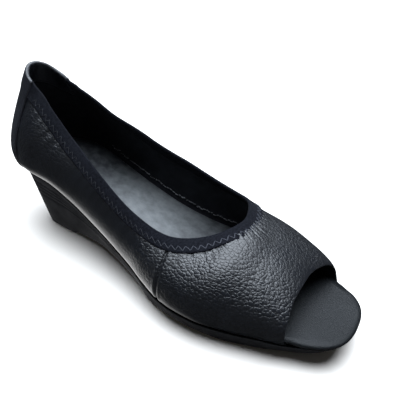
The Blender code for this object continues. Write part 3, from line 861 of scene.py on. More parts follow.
def two_tone(tree, value, dark, light):
    ramp = add_node(tree, "ShaderNodeValToRGB", {"Fac": value})
    for end, place, colour in zip(ramp.color_ramp.elements, (RAMP_START, RAMP_END), (dark, light)):
        end.position = place
        end.color = (*colour, 1)
    return ramp.outputs["Color"]


def new_material(name, dark, light):
    """Material with its shader, and its two tones for viewers without nodes."""
    material = bpy.data.materials.new(name)
    material.use_nodes = True
    material.diffuse_color = (*[(a + b) / 2 for a, b in zip(dark, light)], 1)
    return material, material.node_tree, material.node_tree.nodes["Principled BSDF"]


def surface(name, group, sizes, dark, light, roughness, depth_mm, gloss=0.5, amount=None, pale=None, sheen=0):
    """Material whose two tones, roughness and relief come from a group. amount names a field of the piece
    for the group's Amount. pale names a field, 0 dark to 1 light, and how far the tone strays from it."""
    material, tree, shader = new_material(name, dark, light)
    pattern = add_node(tree, "ShaderNodeGroup", sizes, node_tree=group)
    if amount:
        fill(tree, pattern, {"Amount": field_value(tree, amount)})
    tone = pattern.outputs["Tone"]
    if pale:
        field, reach = pale
        level = ranged(tree, field_value(tree, field), RAMP_START, RAMP_END, 0.0, 1.0)
        stray = math_node(tree, "MULTIPLY", math_node(tree, "SUBTRACT", tone, 0.5), reach)
        tone = math_node(tree, "ADD", level, stray)
    relief = add_node(
        tree, "ShaderNodeBump",
        {"Height": pattern.outputs["Height"], "Strength": 1.0, "Distance": depth_mm * MM})
    low, high = roughness
    fill(tree, shader, {
        "Base Color": two_tone(tree, tone, dark, light),
        "Roughness": ranged(tree, pattern.outputs["Tone"], high, low),
        "Normal": relief.outputs["Normal"],
        "Specular IOR Level": gloss,
    })
    if sheen:
        fill(tree, shader, {"Sheen Weight": sheen, "Sheen Roughness": 0.4})
    return material


GRAINED_LEATHER = surface(
    "grained_leather", LEATHER_GRAIN, {"Cell Size mm": 1.9},
    dark=(0.0022, 0.0028, 0.0045), light=(0.0052, 0.0065, 0.0098),
    roughness=(0.29, 0.42), depth_mm=0.20, gloss=0.62, amount="grain")
STAY_LEATHER = surface(
    "stay_leather", LEATHER_GRAIN, {"Cell Size mm": 1.3},
    dark=(0.006, 0.007, 0.0105), light=(0.012, 0.0135, 0.0195),
    roughness=(0.34, 0.46), depth_mm=0.07)
FOOTBED_LEATHER = surface(
    "footbed_leather", LEATHER_GRAIN, {"Cell Size mm": 0.9},
    dark=(0.006, 0.007, 0.008), light=(0.011, 0.0125, 0.014),
    roughness=(0.30, 0.40), depth_mm=0.07, gloss=0.15)
LINING_CLOTH = surface(
    "lining_cloth", MOTTLE, {"Cloud mm": 9.0, "Speck mm": 0.5},
    dark=(0.003, 0.0037, 0.0075), light=(0.006, 0.0074, 0.014),
    roughness=(0.8, 0.95), depth_mm=0.05)
ELASTIC_KNIT = surface(
    "elastic_knit", KNIT, {"Rib mm": 0.95, "Stitch mm": 0.8},
    dark=(0.0022, 0.0026, 0.0045), light=(0.0055, 0.0065, 0.011),
    roughness=(0.75, 0.95), depth_mm=0.12, gloss=0.1, sheen=0.025)
# The sock's tone follows a field of painted light and shade
SOCK_SYNTHETIC = surface(
    "sock_synthetic", MOTTLE, {"Cloud mm": 6.0, "Speck mm": 0.5},
    dark=(0.010, 0.011, 0.014), light=(0.160, 0.170, 0.174),
    roughness=(0.40, 0.55), depth_mm=0.04, gloss=0.4, pale=("tone_and_painted_shading", 0.4))
STITCH_LINE = surface(
    "stitch_line", MOTTLE, {"Cloud mm": 1.4, "Speck mm": 0.3},
    dark=(0.03, 0.032, 0.036), light=(0.34, 0.35, 0.37),
    roughness=(0.6, 0.8), depth_mm=0.1)
THREAD = surface(
    "thread", MOTTLE, {"Cloud mm": 1.5, "Speck mm": 0.2},
    dark=(0.005, 0.0055, 0.008), light=(0.052, 0.056, 0.070),
    roughness=(0.6, 0.8), depth_mm=0.03, gloss=0.25, pale=("tone_and_painted_shading", 0.5))
MOULDED_RUBBER = surface(
    "moulded_rubber", MOTTLE, {"Cloud mm": 10.0, "Speck mm": 0.5},
    dark=(0.009, 0.0093, 0.0105), light=(0.015, 0.0156, 0.0172),
    roughness=(0.6, 0.75), depth_mm=0.06, gloss=0.01)


# Panels
def panel_turns(first, last, fine_at):
    """Turns of a panel's columns, closer together towards the seams that it ends on."""
    fine = np.linspace(first, last, PANEL_SAMPLES)
    top = wall_point(column(fine, 0 * fine, PANEL_KNOTS))
    low = wall_point(column(fine, 0 * fine + 1, PANEL_KNOTS))
    pace = np.maximum(*(np.linalg.norm(np.diff(edge, axis=0), axis=1) for edge in (top, low)))
    run = np.concatenate([[0], np.cumsum(pace)])
    weight = np.ones(len(run))
    for end in fine_at:
        away = run if end == "first" else run[-1] - run
        weight += SEAM_FINENESS * hump(away, SEAM_FINE_REACH)
    load = np.concatenate([[0], np.cumsum(pace * (weight[1:] + weight[:-1]) / 2)])
    count = int(math.ceil(load[-1] / PANEL_STEP))
    return np.interp(np.linspace(0, load[-1], count + 1), load, fine)


def panel_levels(turns):
    """Shares of a panel's columns at each level, and their distances down from the collar's edge."""
    runs, steps = column_runs(turns, PANEL_KNOTS)
    shares, distances = [], []
    for run in runs:
        foot = run[-1] - np.linspace(FOOT_RUN, 0, FOOT_LEVELS)
        wanted = np.concatenate([np.linspace(0, foot[0], PANEL_LEVELS, endpoint=False), foot])
        shares.append(np.interp(wanted, run, steps))
        distances.append(wanted)
    return np.array(shares), np.array(distances)


def wall_depth(distance):
    """Thickness of the finished wall at this distance down from the collar's edge, thin at the rim."""
    return RIM_DEPTH + (WALL - RIM_DEPTH) * ease(distance, 0, RIM_TAPER)


def seam_distance(flat):
    """Distance along the foot from the seam between vamp and quarter on this side."""
    away = np.full(flat.shape[:-1], FAR_AWAY)
    for turn, sign in ((SEAM_INNER, 1), (SEAM_OUTER, -1)):
        top, low = collar_edge(np.array(turn)), lower_edge(np.array(turn), PANEL_KNOTS)
        down = np.clip((flat[..., 1] - top[1]) / (low[1] - top[1]), -SEAM_PAST_COLLAR, 1)
        line = top[0] + (low[0] - top[0]) * down
        away = np.where(sign * flat[..., 1] > RIDGE_STRIP, flat[..., 0] - line, away)
    return away


# Distances down the wall, tabled along the band and round the back
StripTable = collections.namedtuple("StripTable", "turns runs steps")


def strip_table(first, last, count):
    turns = np.linspace(first, last, count)
    runs, steps = column_runs(turns, STRIP_KNOTS)
    return StripTable(turns, runs, steps)


def strip_flat(strip, turn, distance):
    """Flat pattern of strip points at these turns and distances down the wall from the collar's edge."""
    place = np.interp(turn, strip.turns, np.arange(len(strip.turns)))
    first = np.clip(place.astype(int), 0, len(strip.turns) - 2)
    part = place - first
    share = np.zeros(np.shape(turn))
    for spot in np.ndindex(share.shape):
        i, f = first[spot], part[spot]
        share[spot] = np.interp(distance[spot], strip.runs[i] * (1 - f) + strip.runs[i + 1] * f, strip.steps)
    return column(turn, share, STRIP_KNOTS)


BAND_TABLE = strip_table(STAY_INNER_TURN - BAND_UNDER_STAY, STAY_OUTER_TURN + BAND_UNDER_STAY, BAND_COLUMNS)
BACK_TABLE = strip_table(STAY_OUTER_TURN - (1 + BACK_MARGIN), STAY_INNER_TURN + BACK_MARGIN, BACK_COLUMNS)
BAND_EDGE = wall_point(strip_flat(BAND_TABLE, BAND_TABLE.turns, 0 * BAND_TABLE.turns + BAND_OUTER_LEG))
BAND_EDGE_RUN = run_along(BAND_EDGE)
BAND_EDGE_DOWN = unit(BAND_EDGE - wall_point(column(BAND_TABLE.turns, 0 * BAND_TABLE.turns, STRIP_KNOTS)))


def below_band(points):
    """Distance below the band's lower edge, and the place along it, for points of the wall."""
    flat = points.reshape(-1, 3)
    distance, place = [], []
    for start in range(0, len(flat), CHUNK):
        gap = flat[start:start + CHUNK, None] - BAND_EDGE[None]
        length = np.linalg.norm(gap, axis=-1)
        near = np.argmin(length, axis=1)
        row = np.arange(len(near))
        side = np.sign((gap[row, near] * BAND_EDGE_DOWN[near]).sum(-1))
        distance.append(length[row, near] * side)
        place.append(BAND_EDGE_RUN[near])
    shape = points.shape[:-1]
    return np.concatenate(distance).reshape(shape), np.concatenate(place).reshape(shape)


def stay_turns(across, share):
    """Turns of points of the stay, across it from -1 to 1 and at this share of its length from the collar."""
    spread = STAY_TOP_DRAW - (STAY_TOP_DRAW + STAY_FOOT_SPREAD) * ease(share, *STAY_SPREAD)
    first, last = STAY_OUTER_TURN - 1 + spread, STAY_INNER_TURN - spread
    return first + (last - first) * (1 + across) / 2


def stay_flat(turns, share):
    """Flat pattern and distance from the collar's edge of points of the stay."""
    low = np.interp(turns[:, :1], BACK_TABLE.turns, BACK_TABLE.runs[:, -1]) - STAY_FOOT
    distance = low * share
    return strip_flat(BACK_TABLE, turns, distance), distance


STAY_SHARES = np.linspace(1, STAY_TOP_SHARE, STAY_LEVELS)[None]
STAY_SIDE_TURNS = stay_turns(np.array([[-1.0], [1.0]]), STAY_SHARES)
STAY_SIDES = wall_point(stay_flat(STAY_SIDE_TURNS, STAY_SHARES)[0]).reshape(-1, 3)


def beside_stay(points):
    """Distance to the nearer side of the stay."""
    gap = np.full(points.shape[:-1], FAR_AWAY)
    near = points[..., 0] < HEEL_CENTRE_X + STAY_GROOVE_SEARCH
    gap[near] = np.linalg.norm(points[near][:, None] - STAY_SIDES, axis=-1).min(1)
    return gap


# Soft troughs and ridges in the leather: both ends on the flat pattern, height and width
CREASES = table(
    "x0 y0 x1 y1 height width",
    (70, -17, 132, -19, -0.45, 3.0),
    (66, -21, 128, -24, 0.30, 3.2),
    (70, 15, 132, 17, -0.40, 3.0),
    (66, 20, 128, 22, 0.28, 3.2),
    (150, -18, 168, -9, -0.30, 2.4),
    (158, -22, 176, -13, -0.22, 2.6),
    (150, 18, 170, 9, -0.30, 2.4),
    (160, 21, 178, 12, -0.20, 2.6),
    (12, -24, 30, -30, -0.25, 3.0),
    (14, 24, 30, 30, -0.25, 3.0),
)
# Puckers along the band, fine ones at the throat and slack ones at the sides
FINE_PUCKERS, SLACK_PUCKERS = table("height reach pitch start", (0.26, 3.4, 2.9, 0), (0.32, 5.0, 7.0, 3))
# Patches of grain on the quarters
HEEL_PATCH, SEAM_PATCH = table("x width amount", (40, 26, 0.5), (135, 16, 0.7))


def crease_height(flat):
    total = np.zeros(flat.shape[:-1])
    for row in CREASES:
        start = np.array([row.x0, row.y0], float)
        span = np.array([row.x1, row.y1], float) - start
        t = ((flat - start) @ span) / (span @ span)
        gap = np.linalg.norm(flat - start - np.clip(t, 0, 1)[..., None] * span, axis=-1)
        fade = ease(t, *CREASE_IN) * (1 - ease(t, *CREASE_OUT))
        total += row.height * hump(gap, row.width) * fade
    return total


def grain_amount(flat, points):
    """Share of the full pebbled grain: most on the vamp, patches on the quarters, little along the foot."""
    x, across = flat[..., 0], np.abs(flat[..., 1]) / GIRTH
    up = points[..., 2] - seat(points[..., 0])
    on_vamp = ease(x, *VAMP_GRAIN_X)
    vamp = VAMP_GRAIN + VAMP_SIDE_GRAIN * ease(across, *VAMP_SIDE)
    heel_patch = hump(x - HEEL_PATCH.x, HEEL_PATCH.width) * ease(up, *HEEL_PATCH_UP)
    seam_patch = hump(x - SEAM_PATCH.x, SEAM_PATCH.width)
    quarter = QUARTER_GRAIN + HEEL_PATCH.amount * heel_patch + SEAM_PATCH.amount * seam_patch
    off_foot = FOOT_GRAIN + (1 - FOOT_GRAIN) * ease(up, *FOOT_GRAIN_UP)
    return (on_vamp * vamp + (1 - on_vamp) * np.clip(quarter, 0, 1)) * off_foot


def vamp_crown(flat):
    """Soft swell of the vamp between throat and toe opening."""
    girth = np.clip(flat[..., 1] / GIRTH, -1, 1)
    share = np.clip((flat[..., 0] - CROWN_START_X) / (smooth(OPENING, "x", girth) - CROWN_START_X), 0, 1)
    return CROWN_RISE * np.sin(math.pi * share) * (1 - ease(np.abs(girth), *CROWN_FADE))


def opening_roll(flat):
    """Fall of the vamp where it rolls into the toe opening."""
    girth = np.clip(flat[..., 1] / GIRTH, -1, 1)
    gap = np.maximum(smooth(OPENING, "x", girth) - flat[..., 0], 0)
    return -OPENING_ROLL * np.exp(-gap / OPENING_ROLL_REACH) * (1 - ease(np.abs(girth), *OPENING_ROLL_FADE))


def pucker_height(row, down, place):
    return row.height * np.exp(-down / row.reach) * ripple(place + row.start, row.pitch)


def leather_relief(flat, points):
    """Height over the plain wall: seams, puckers, creases, the stay's groove and the vamp's swell."""
    away = seam_distance(flat)
    shoulder = SEAM_SHOULDER * hump(np.abs(away) - SEAM_SHOULDER_AWAY, SEAM_SHOULDER_WIDTH)
    valley = -SEAM_DEPTH * hump(away, SEAM_WIDTH) + shoulder
    down, place = below_band(points)
    down = np.maximum(down, 0)
    front = 1 - ease(np.abs(place - THROAT_PLACE), *THROAT_FADE)
    fine = pucker_height(FINE_PUCKERS, down, place) * (SIDE_PUCKERS + (1 - SIDE_PUCKERS) * front)
    slack = pucker_height(SLACK_PUCKERS, down, place) * (1 - front)
    groove = -STAY_GROOVE * hump(beside_stay(points), STAY_GROOVE_WIDTH)
    return valley + fine + slack + groove + crease_height(flat) + vamp_crown(flat) + opening_roll(flat)


def panel_mesh(turns):
    """Points and grain of one leather panel: its outer face, rolled over the lower edge and hemmed inside."""
    t, _ = panel_levels(turns)
    flat = column(turns[:, None] + 0 * t, t, PANEL_KNOTS)
    points, normal = wall_point(flat), wall_normal(flat)
    relief = leather_relief(flat, points)[..., None]
    outer = points + normal * relief
    amount = grain_amount(flat, points)
    edge, edge_normal = outer[:, -1], normal[:, -1]
    down = unit(points[:, -1] - points[:, -2])
    half = (WALL + relief[:, -1]) / 2
    rolls = []
    for angle in np.linspace(0, math.pi, ROLL_STEPS)[1:]:
        past = ROLL_FLATNESS * math.sin(angle)
        rolls.append(edge + half * (edge_normal * (math.cos(angle) - 1) + down * past))
    in_opening = (turns >= CORNER_INNER) & (turns <= CORNER_OUTER)
    leg = np.where(in_opening, HEM_LEG, FOOT_LEG)
    runs, steps = column_runs(turns, PANEL_KNOTS)
    for share in HEM_SHARES:
        level = np.array([np.interp(run[-1] - share * a, run, steps) for run, a in zip(runs, leg)])
        hem_flat = column(turns, level, PANEL_KNOTS)
        sink = WALL if share < 1 else WALL - HEM_TUCK
        rolls.append(raised(hem_flat, -sink))
    hem = np.stack(rolls, 1)
    grid = np.concatenate([outer, hem], 1)
    amount = np.concatenate([amount, np.repeat(amount[:, -1:] * HEM_GRAIN, hem.shape[1], 1)], 1)
    return grid, amount


def add_panel(name, turns, stands_for=None):
    grid, amount = panel_mesh(turns)
    faces = grid_faces(*grid.shape[:2])
    add_piece(name, grid, faces, GRAINED_LEATHER, {"grain": amount.ravel()}, stands_for)


def add_lining(turns):
    """Inner face of the upper, from the collar down to the footbed and forward to the toe opening."""
    t, distance = (values[:, ::2] for values in panel_levels(turns))
    flat = column(turns[:, None] + 0 * t, t, PANEL_KNOTS)
    inner = raised(flat, LINING_SKIN - wall_depth(distance))
    faces = turned_over(grid_faces(*inner.shape[:2], ring=True))
    add_piece("lining", inner, faces, LINING_CLOTH)


# Strips folded over the collar's edge
def edge_round(inset, reach):
    """Share of a strip's thickness at this distance in from its edge."""
    t = np.clip(inset / reach, 0, 1)
    return np.sqrt(1 - (1 - t) ** 2)


def folded_rows(strip, outer_turns, outer, inner_turns, inner, rise_outer, rise_inner):
    """Points of a folded strip, from its outer edge over the collar to its inner edge, and their places
    across it. Turns and distances are given for each point of the outer and of the inner leg."""
    flat = strip_flat(strip, outer_turns, outer)
    rows = [raised(flat, rise_outer)]
    across = [outer]
    turns = outer_turns[:, -1]
    top = column(turns, 0 * turns, STRIP_KNOTS)
    edge, edge_normal = wall_point(top)[:, None], wall_normal(top)[:, None]
    up = unit(edge - wall_point(column(turns, 0 * turns + FOLD_UP_STEP, STRIP_KNOTS))[:, None])
    near, far = rise_outer[:, -1:, None], RIM_DEPTH + rise_inner[:, :1, None]
    angle = np.linspace(0, math.pi, FOLD_STEPS)[None, :, None]
    round_fold = edge_normal * np.cos(angle) + up * np.sin(angle)
    rows.append(edge + edge_normal * (near - far) / 2 + (near + far) / 2 * round_fold)
    across.append(-FOLD_RUN * angle[..., 0] + 0 * turns[:, None])
    flat = strip_flat(strip, inner_turns, inner)
    rows.append(raised(flat, -(wall_depth(inner) + rise_inner)))
    across.append(-FOLD_RUN * math.pi - inner)
    return np.concatenate(rows, 1), np.concatenate(across, 1)


def band_rise(distance):
    """Height of the band's face over the leather at this distance from the collar's edge."""
    return BAND_LIFT + BAND_THICK * edge_round(BAND_OUTER_LEG - distance, BAND_EDGE_ROUND)


def add_band():
    """Elastic band, folded over the collar's edge and drawn in a little by its stitches."""
    turns = BAND_TABLE.turns[:, None]
    outer = 0 * turns + BAND_OUTER_LEG - BAND_INSETS
    inner = 0 * turns + BAND_INNER_ROWS
    place = BAND_EDGE_RUN[:, None]
    middle = (ZIGZAG_HIGH + ZIGZAG_LOW) / 2
    beat = BITE_EVEN + (1 - BITE_EVEN) * np.cos(math.pi * place / ZIGZAG_STEP)
    bite = BITE_DEPTH * hump(outer - middle, BITE_WIDTH) * beat
    roll = BAND_ROLL * np.sin(math.pi * np.clip(outer / BAND_OUTER_LEG, 0, 1))
    rise_outer = band_rise(outer) - bite + roll
    rise_inner = INNER_LIFT + INNER_THICK * edge_round(BAND_INNER_LEG - inner, INNER_EDGE_ROUND)
    grid, across = folded_rows(
        BAND_TABLE, turns + 0 * outer, outer, turns + 0 * inner, inner, rise_outer, rise_inner)
    fields = {"strip_mm": np.stack([place + 0 * across, across, 0 * across], -1).reshape(-1, 3)}
    faces = turned_over(grid_faces(*grid.shape[:2]))
    add_piece("elastic_band", grid, faces, ELASTIC_KNIT, fields, "topline_band")


def add_zigzag():
    """Zigzag stitching near the band's lower edge."""
    count = int((BAND_EDGE_RUN[-1] - 2 * ZIGZAG_MARGIN) / ZIGZAG_STEP)
    knots = ZIGZAG_MARGIN + ZIGZAG_STEP * np.arange(count)
    swing = np.where(np.arange(count) % 2 == 0, ZIGZAG_LOW, ZIGZAG_HIGH)
    place = np.linspace(knots[0], knots[-1], count * ZIGZAG_POINTS)
    distance = np.interp(place, knots, swing)
    turn = np.interp(place, BAND_EDGE_RUN, BAND_TABLE.turns)
    flat = strip_flat(BAND_TABLE, turn, distance)
    normal = wall_normal(flat)
    arch = ZIGZAG_ARCH * hump((place - knots[0]) / ZIGZAG_STEP % 1.0 - 0.5, ZIGZAG_ARCH_WIDTH)
    height = band_rise(distance) - ZIGZAG_SINK + arch
    points, faces = tube(wall_point(flat) + normal * height[:, None], normal, THREAD_RADIUS, THREAD_SIDES)
    throat = 1 - ease(np.abs(turn - 0.5), *THREAD_PALE_FADE)
    tone_and_painted_shading = np.repeat(THREAD_DARK + THREAD_PALE * throat, THREAD_SIDES)
    add_piece("band_zigzag", points, faces, THREAD, {"tone_and_painted_shading": tone_and_painted_shading})


def add_stay():
    """Leather strip down the heel's back, with rounded sides, folded over the band and the collar's edge."""
    across = np.sin(np.linspace(-math.pi / 2, math.pi / 2, STAY_COLUMNS))[:, None]
    turns = stay_turns(across, STAY_SHARES)
    flat, outer = stay_flat(turns, STAY_SHARES)
    run = run_along(wall_point(flat))
    side = np.minimum(run, run[-1:] - run)
    over_band = 1 - ease(outer, *(BAND_OUTER_LEG + step for step in STAY_STEP_DOWN))
    thick = STAY_THICK + STAY_OVER_BAND * over_band
    rise_outer = -STAY_SINK + (thick + STAY_SINK) * edge_round(side, STAY_EDGE_ROUND)
    inner = 0 * across + np.linspace(BAND_INNER_ROWS[0], STAY_INNER_LEG, STAY_INNER_LEVELS)
    inner_round = edge_round(side[:, -1:] + 0 * inner, STAY_INNER_SIDE_ROUND)
    end_round = edge_round(STAY_INNER_LEG - inner, STAY_INNER_END_ROUND)
    rise_inner = -STAY_SINK + (INNER_THICK + STAY_INNER_OVER_BAND) * inner_round * end_round
    grid, _ = folded_rows(BACK_TABLE, turns, outer, turns[:, -1:] + 0 * inner, inner, rise_outer, rise_inner)
    faces = turned_over(grid_faces(*grid.shape[:2]))
    add_piece("heel_stay", grid, faces, STAY_LEATHER, None, "back_stay")


# Footbed and sock
RIM_LEVELS = np.linspace(RIM[0].step, RIM[-1].step, RIM_STEPS)
HOLLOWS = table("x depth width", (40, 0.5, 26), (170, 0.7, 34), (232, 0.35, 12))


def inside_reach(section, height):
    """Distance from the centre line to a place inside the wall's thickness, at this height low on it."""
    foot, widest, belly = section[:, 0], section[:, 1], section[:, 2]
    turn = np.arccos(np.clip(1 - height / belly, -1, 1))
    return foot + (widest - foot) * np.sin(turn) - BED_INTO_WALL * WALL


def footbed_edges(sign):
    """Edges of the footbed on one side, from its underside up: into the wall inside the upper, and a full
    rounded rim in front of the toe opening."""
    name = "outer" if sign < 0 else "inner"
    corner = OPENING[0].x if sign < 0 else OPENING[-1].x
    rim_start = corner + RIM_START
    angle = np.linspace(0, math.pi / 2, HEEL_STEPS, endpoint=False)
    heel = np.stack([HEEL_CENTRE_X * (1 - np.cos(angle)), sign * GIRTH * np.sin(angle)], -1)
    side_x = np.linspace(HEEL_CENTRE_X, rim_start, SIDE_STEPS, endpoint=False)
    toe_share = np.sin(np.linspace(0, math.pi / 2, TOE_STEPS))
    edges = []
    for level in RIM_LEVELS:
        bulge = float(smooth(RIM, "bulge", level)) * RIM_BULGE
        lift = float(smooth(RIM, "height", level))
        tip = TOE_TIP_TOP_X + bulge
        x = np.concatenate([0 * angle + HEEL_CENTRE_X, side_x, rim_start + (tip - rim_start) * toe_share])
        ahead = x[HEEL_STEPS:]
        flat = np.concatenate([heel, np.stack([ahead, 0 * ahead + sign * GIRTH], -1)])
        section, _, fan, _ = section_at(flat)
        turned = flat[:, 0] < HEEL_CENTRE_X
        height = lift * INSOLE_THICK
        centre = smooth(CENTRE, "y", x)
        inside = inside_reach(section, height)
        cap = rounded_end(tip - x, TOE_DEPTH, TOE_ROUNDNESS)
        rim_width = (smooth(SOLE_TOP, name, x) - sign * centre + bulge) * cap
        out_front = ease(x, rim_start, corner + RIM_BLEND)
        distance = inside * (1 - out_front) + rim_width * out_front
        px = x - distance * np.cos(fan) * turned
        py = centre + distance * np.where(turned, np.sin(fan), sign)
        edges.append(np.stack([px, py, seat(px) + GAP + height], -1))
    return np.array(edges)


def closed_ends(outer, inner):
    """Makes the two edges of each layer meet at heel and toe."""
    for end in (0, -1):
        middle = (outer[:, end] + inner[:, end]) / 2
        outer[:, end] = middle
        inner[:, end] = middle


def bed_hollow(x, across):
    """Shallow hollow of the bed under heel, ball and toes, across from -1 to 1."""
    depth = sum(row.depth * hump(x - row.x, row.width) for row in HOLLOWS)
    return depth * (1 - across ** 2)


def layered_shell(outer, inner, across_steps, hollow=None):
    """Closed mesh through layers of edges, with a plain underside and a top of several steps across, which
    sinks by hollow if one is given."""
    layers, count, _ = outer.shape
    rings = np.concatenate([outer, inner[:, -2:0:-1]], 1)
    size = rings.shape[1]
    points = [rings.reshape(-1, 3)]
    faces = []
    for level in range(layers - 1):
        for j in range(size):
            k = (j + 1) % size
            a, b = level * size + j, level * size + k
            faces.append((a, b, b + size, a + size))
    for j in range(count - 1):
        cap = (j, j + 1, (size - j - 1) % size, (size - j) % size)
        faces.append(tuple(dict.fromkeys(cap))[::-1])
    top = (layers - 1) * size
    share = np.linspace(0, 1, across_steps + 1)[1:-1]
    inside = outer[-1, 1:-1, None] * (1 - share[:, None]) + inner[-1, 1:-1, None] * share[:, None]
    if hollow:
        inside[..., 2] -= hollow(inside[..., 0], 2 * share - 1)
    start = layers * size
    points.append(inside.reshape(-1, 3))
    wide = across_steps - 1

    def corner(j, m):
        if m == 0 or j in (0, count - 1):
            return top + j
        if m == across_steps:
            return top + (size - j) % size
        return start + (j - 1) * wide + m - 1

    for j in range(count - 1):
        for m in range(across_steps):
            around = (corner(j, m), corner(j + 1, m), corner(j + 1, m + 1), corner(j, m + 1))
            face = tuple(dict.fromkeys(around))
            if len(face) > 2:
                faces.append(face)
    return np.concatenate(points), faces


def add_sock(outer, inner):
    """Sock on the footbed, between the two edges of its top, with painted shade at the heel and towards the
    front and painted light at the waist.
    """
    keep = outer[:, 0] < SOCK_END_X
    share = np.linspace(SOCK_MARGIN, 1 - SOCK_MARGIN, SOCK_COLUMNS)
    sheet = outer[keep, None] * (1 - share[:, None]) + inner[keep, None] * share[:, None]
    across = 2 * share - 1
    rim = SOCK_THICK * edge_round((1 - np.abs(across)) * SOCK_HALF_WIDTH, SOCK_EDGE_ROUND)
    sheet[..., 2] += rim + SOCK_LIFT - bed_hollow(sheet[..., 0], across)
    sheet[-1, :, 2] -= SOCK_THICK
    sheet = sheet[1:]
    x = sheet[..., 0]
    # Painted shade at the heel and towards the front, painted light at the waist
    tone_and_painted_shading = SOCK_HEEL_PAINTED_SHADE + SOCK_WAIST_PAINTED_LIGHT * ease(x, *SOCK_WAIST_PAINTED_LIGHT_X) - SOCK_FORE_PAINTED_SHADE * ease(x, *SOCK_FORE_PAINTED_SHADE_X)
    faces = grid_faces(*sheet.shape[:2])
    add_piece("sock", sheet, faces, SOCK_SYNTHETIC, {"tone_and_painted_shading": tone_and_painted_shading.ravel()})


def add_footbed():
    outer, inner = footbed_edges(-1), footbed_edges(1)
    closed_ends(outer, inner)
    points, faces = layered_shell(outer, inner, BED_STEPS, bed_hollow)
    add_piece("footbed", points, faces, FOOTBED_LEATHER, None, "insole")
    add_sock(outer[-1], inner[-1])


def stitch_path(sign, first, last):
    """Way of the stitches along one side of the lining, and the directions away from the wall."""
    x = np.linspace(first, last, STITCH_RUN_STEPS)
    share = np.linspace(*STITCH_SEARCH)
    flat = np.stack([x[:, None] + 0 * share, sign * GIRTH * share + 0 * x[:, None]], -1)
    normal = wall_normal(flat)
    inner = wall_point(flat) - normal * (WALL - LINING_SKIN)
    up = inner[..., 2] - seat(inner[..., 0])
    pick = np.argmin(np.abs(up - (INSOLE_THICK + STITCH_HEIGHT)), axis=1)
    rows = np.arange(len(x))
    return inner[rows, pick], -normal[rows, pick]


def add_lining_stitches():
    """Rough line of stitches low on the lining, along both sides of the sock."""
    rng = np.random.default_rng(STITCH_SEED)
    points, faces, start = [], [], 0
    arch = STITCH_ARCH * np.sin(np.linspace(0, math.pi, STITCH_POINTS)) - STITCH_SINK
    slant = np.linspace(-0.5, 0.5, STITCH_POINTS)
    for side_run in STITCH_RUNS:
        path, away = stitch_path(*side_run)
        run = run_along(path)
        place = STITCH_START
        while place + STITCH_END < run[-1]:
            length = STITCH_SHORTEST + STITCH_LONGER * rng.random()
            spots = np.linspace(place, place + length, STITCH_POINTS)
            line = np.stack([np.interp(spots, run, path[:, k]) for k in range(3)], -1)
            face_out = unit(np.stack([np.interp(spots, run, away[:, k]) for k in range(3)], -1))
            line[:, 2] += STITCH_STRAY * (rng.random() - 0.5) + slant * (rng.random() - 0.5)
            radius = STITCH_THINNEST + STITCH_THICKER * rng.random()
            some, quads = tube(line + face_out * arch[:, None], face_out, radius, THREAD_SIDES)
            points.append(some)
            faces += [tuple(corner + start for corner in quad) for quad in quads]
            start += len(some)
            place += length + STITCH_CLOSEST + STITCH_WIDER * rng.random()
    add_piece("lining_stitches", np.concatenate(points), faces, STITCH_LINE)


# Wedge sole: rings of its side, by share of the height, millimetres added to it, how far the ring is drawn
# in, and how much of a fine line's depth it has
SOLE_SIDE = table(
    "share lift inset groove",
    (0, 0, 0.9, 0), (0, 0.12, 0.45, 0), (0, 0.4, 0.15, 0), (0, 0.9, 0, 0),
    (0.22, 0, 0, 0), (0.40, 0, 0, 0), (0.54, 0, 0, 0),
    *((share + side * LINE_HALF_WIDTH, 0, 0, 1 - abs(side)) for share in LINE_SHARES for side in (-1, 0, 1)),
    (1, -0.8, 0, 0), (1, -0.35, 0.12, 0), (1, -0.08, 0.4, 0), (1, 0, 0.9, 0),
)


def add_wedge():
    spread = (1 - np.cos(np.linspace(0, math.pi, WEDGE_STEPS))) / 2
    top_x = HEEL_BACK_TOP_X + (TOE_TIP_TOP_X - HEEL_BACK_TOP_X) * spread
    low_x = HEEL_BACK_TREAD_X + (TOE_TIP_TREAD_X - HEEL_BACK_TREAD_X) * spread
    low_z, top_z = smooth(TREAD, "z", low_x), seat(top_x)
    outer, inner = [], []
    for row in SOLE_SIDE:
        share = np.clip(row.share + row.lift / (top_z - low_z), 0, 1)
        x = low_x + (top_x - low_x) * share
        z = low_z + (top_z - low_z) * share
        halves = []
        for name, sign in (("outer", -1), ("inner", 1)):
            width = tread_half_width(name, low_x) * (1 - share) + top_half_width(name, top_x) * share
            halves.append(np.stack([x, sign * width, z], -1)[None])
        closed_ends(*halves)
        loop = np.concatenate([halves[0][0], halves[1][0, -2:0:-1]])
        along = np.roll(loop, -1, axis=0) - np.roll(loop, 1, axis=0)
        out = unit(np.stack([along[:, 1], -along[:, 0], 0 * along[:, 0]], -1))
        depth = row.inset + LINE_DEPTH * row.groove * (1 - ease(loop[:, 0], *LINE_FADE_X))
        loop = loop - out * depth[:, None]
        outer.append(loop[:WEDGE_STEPS])
        inner.append(np.concatenate([loop[:1], loop[WEDGE_STEPS:][::-1], loop[WEDGE_STEPS - 1:WEDGE_STEPS]]))
    points, faces = layered_shell(np.array(outer), np.array(inner), WEDGE_BED_STEPS)
    add_piece("wedge_sole", points, faces, MOULDED_RUBBER, None, "sole")


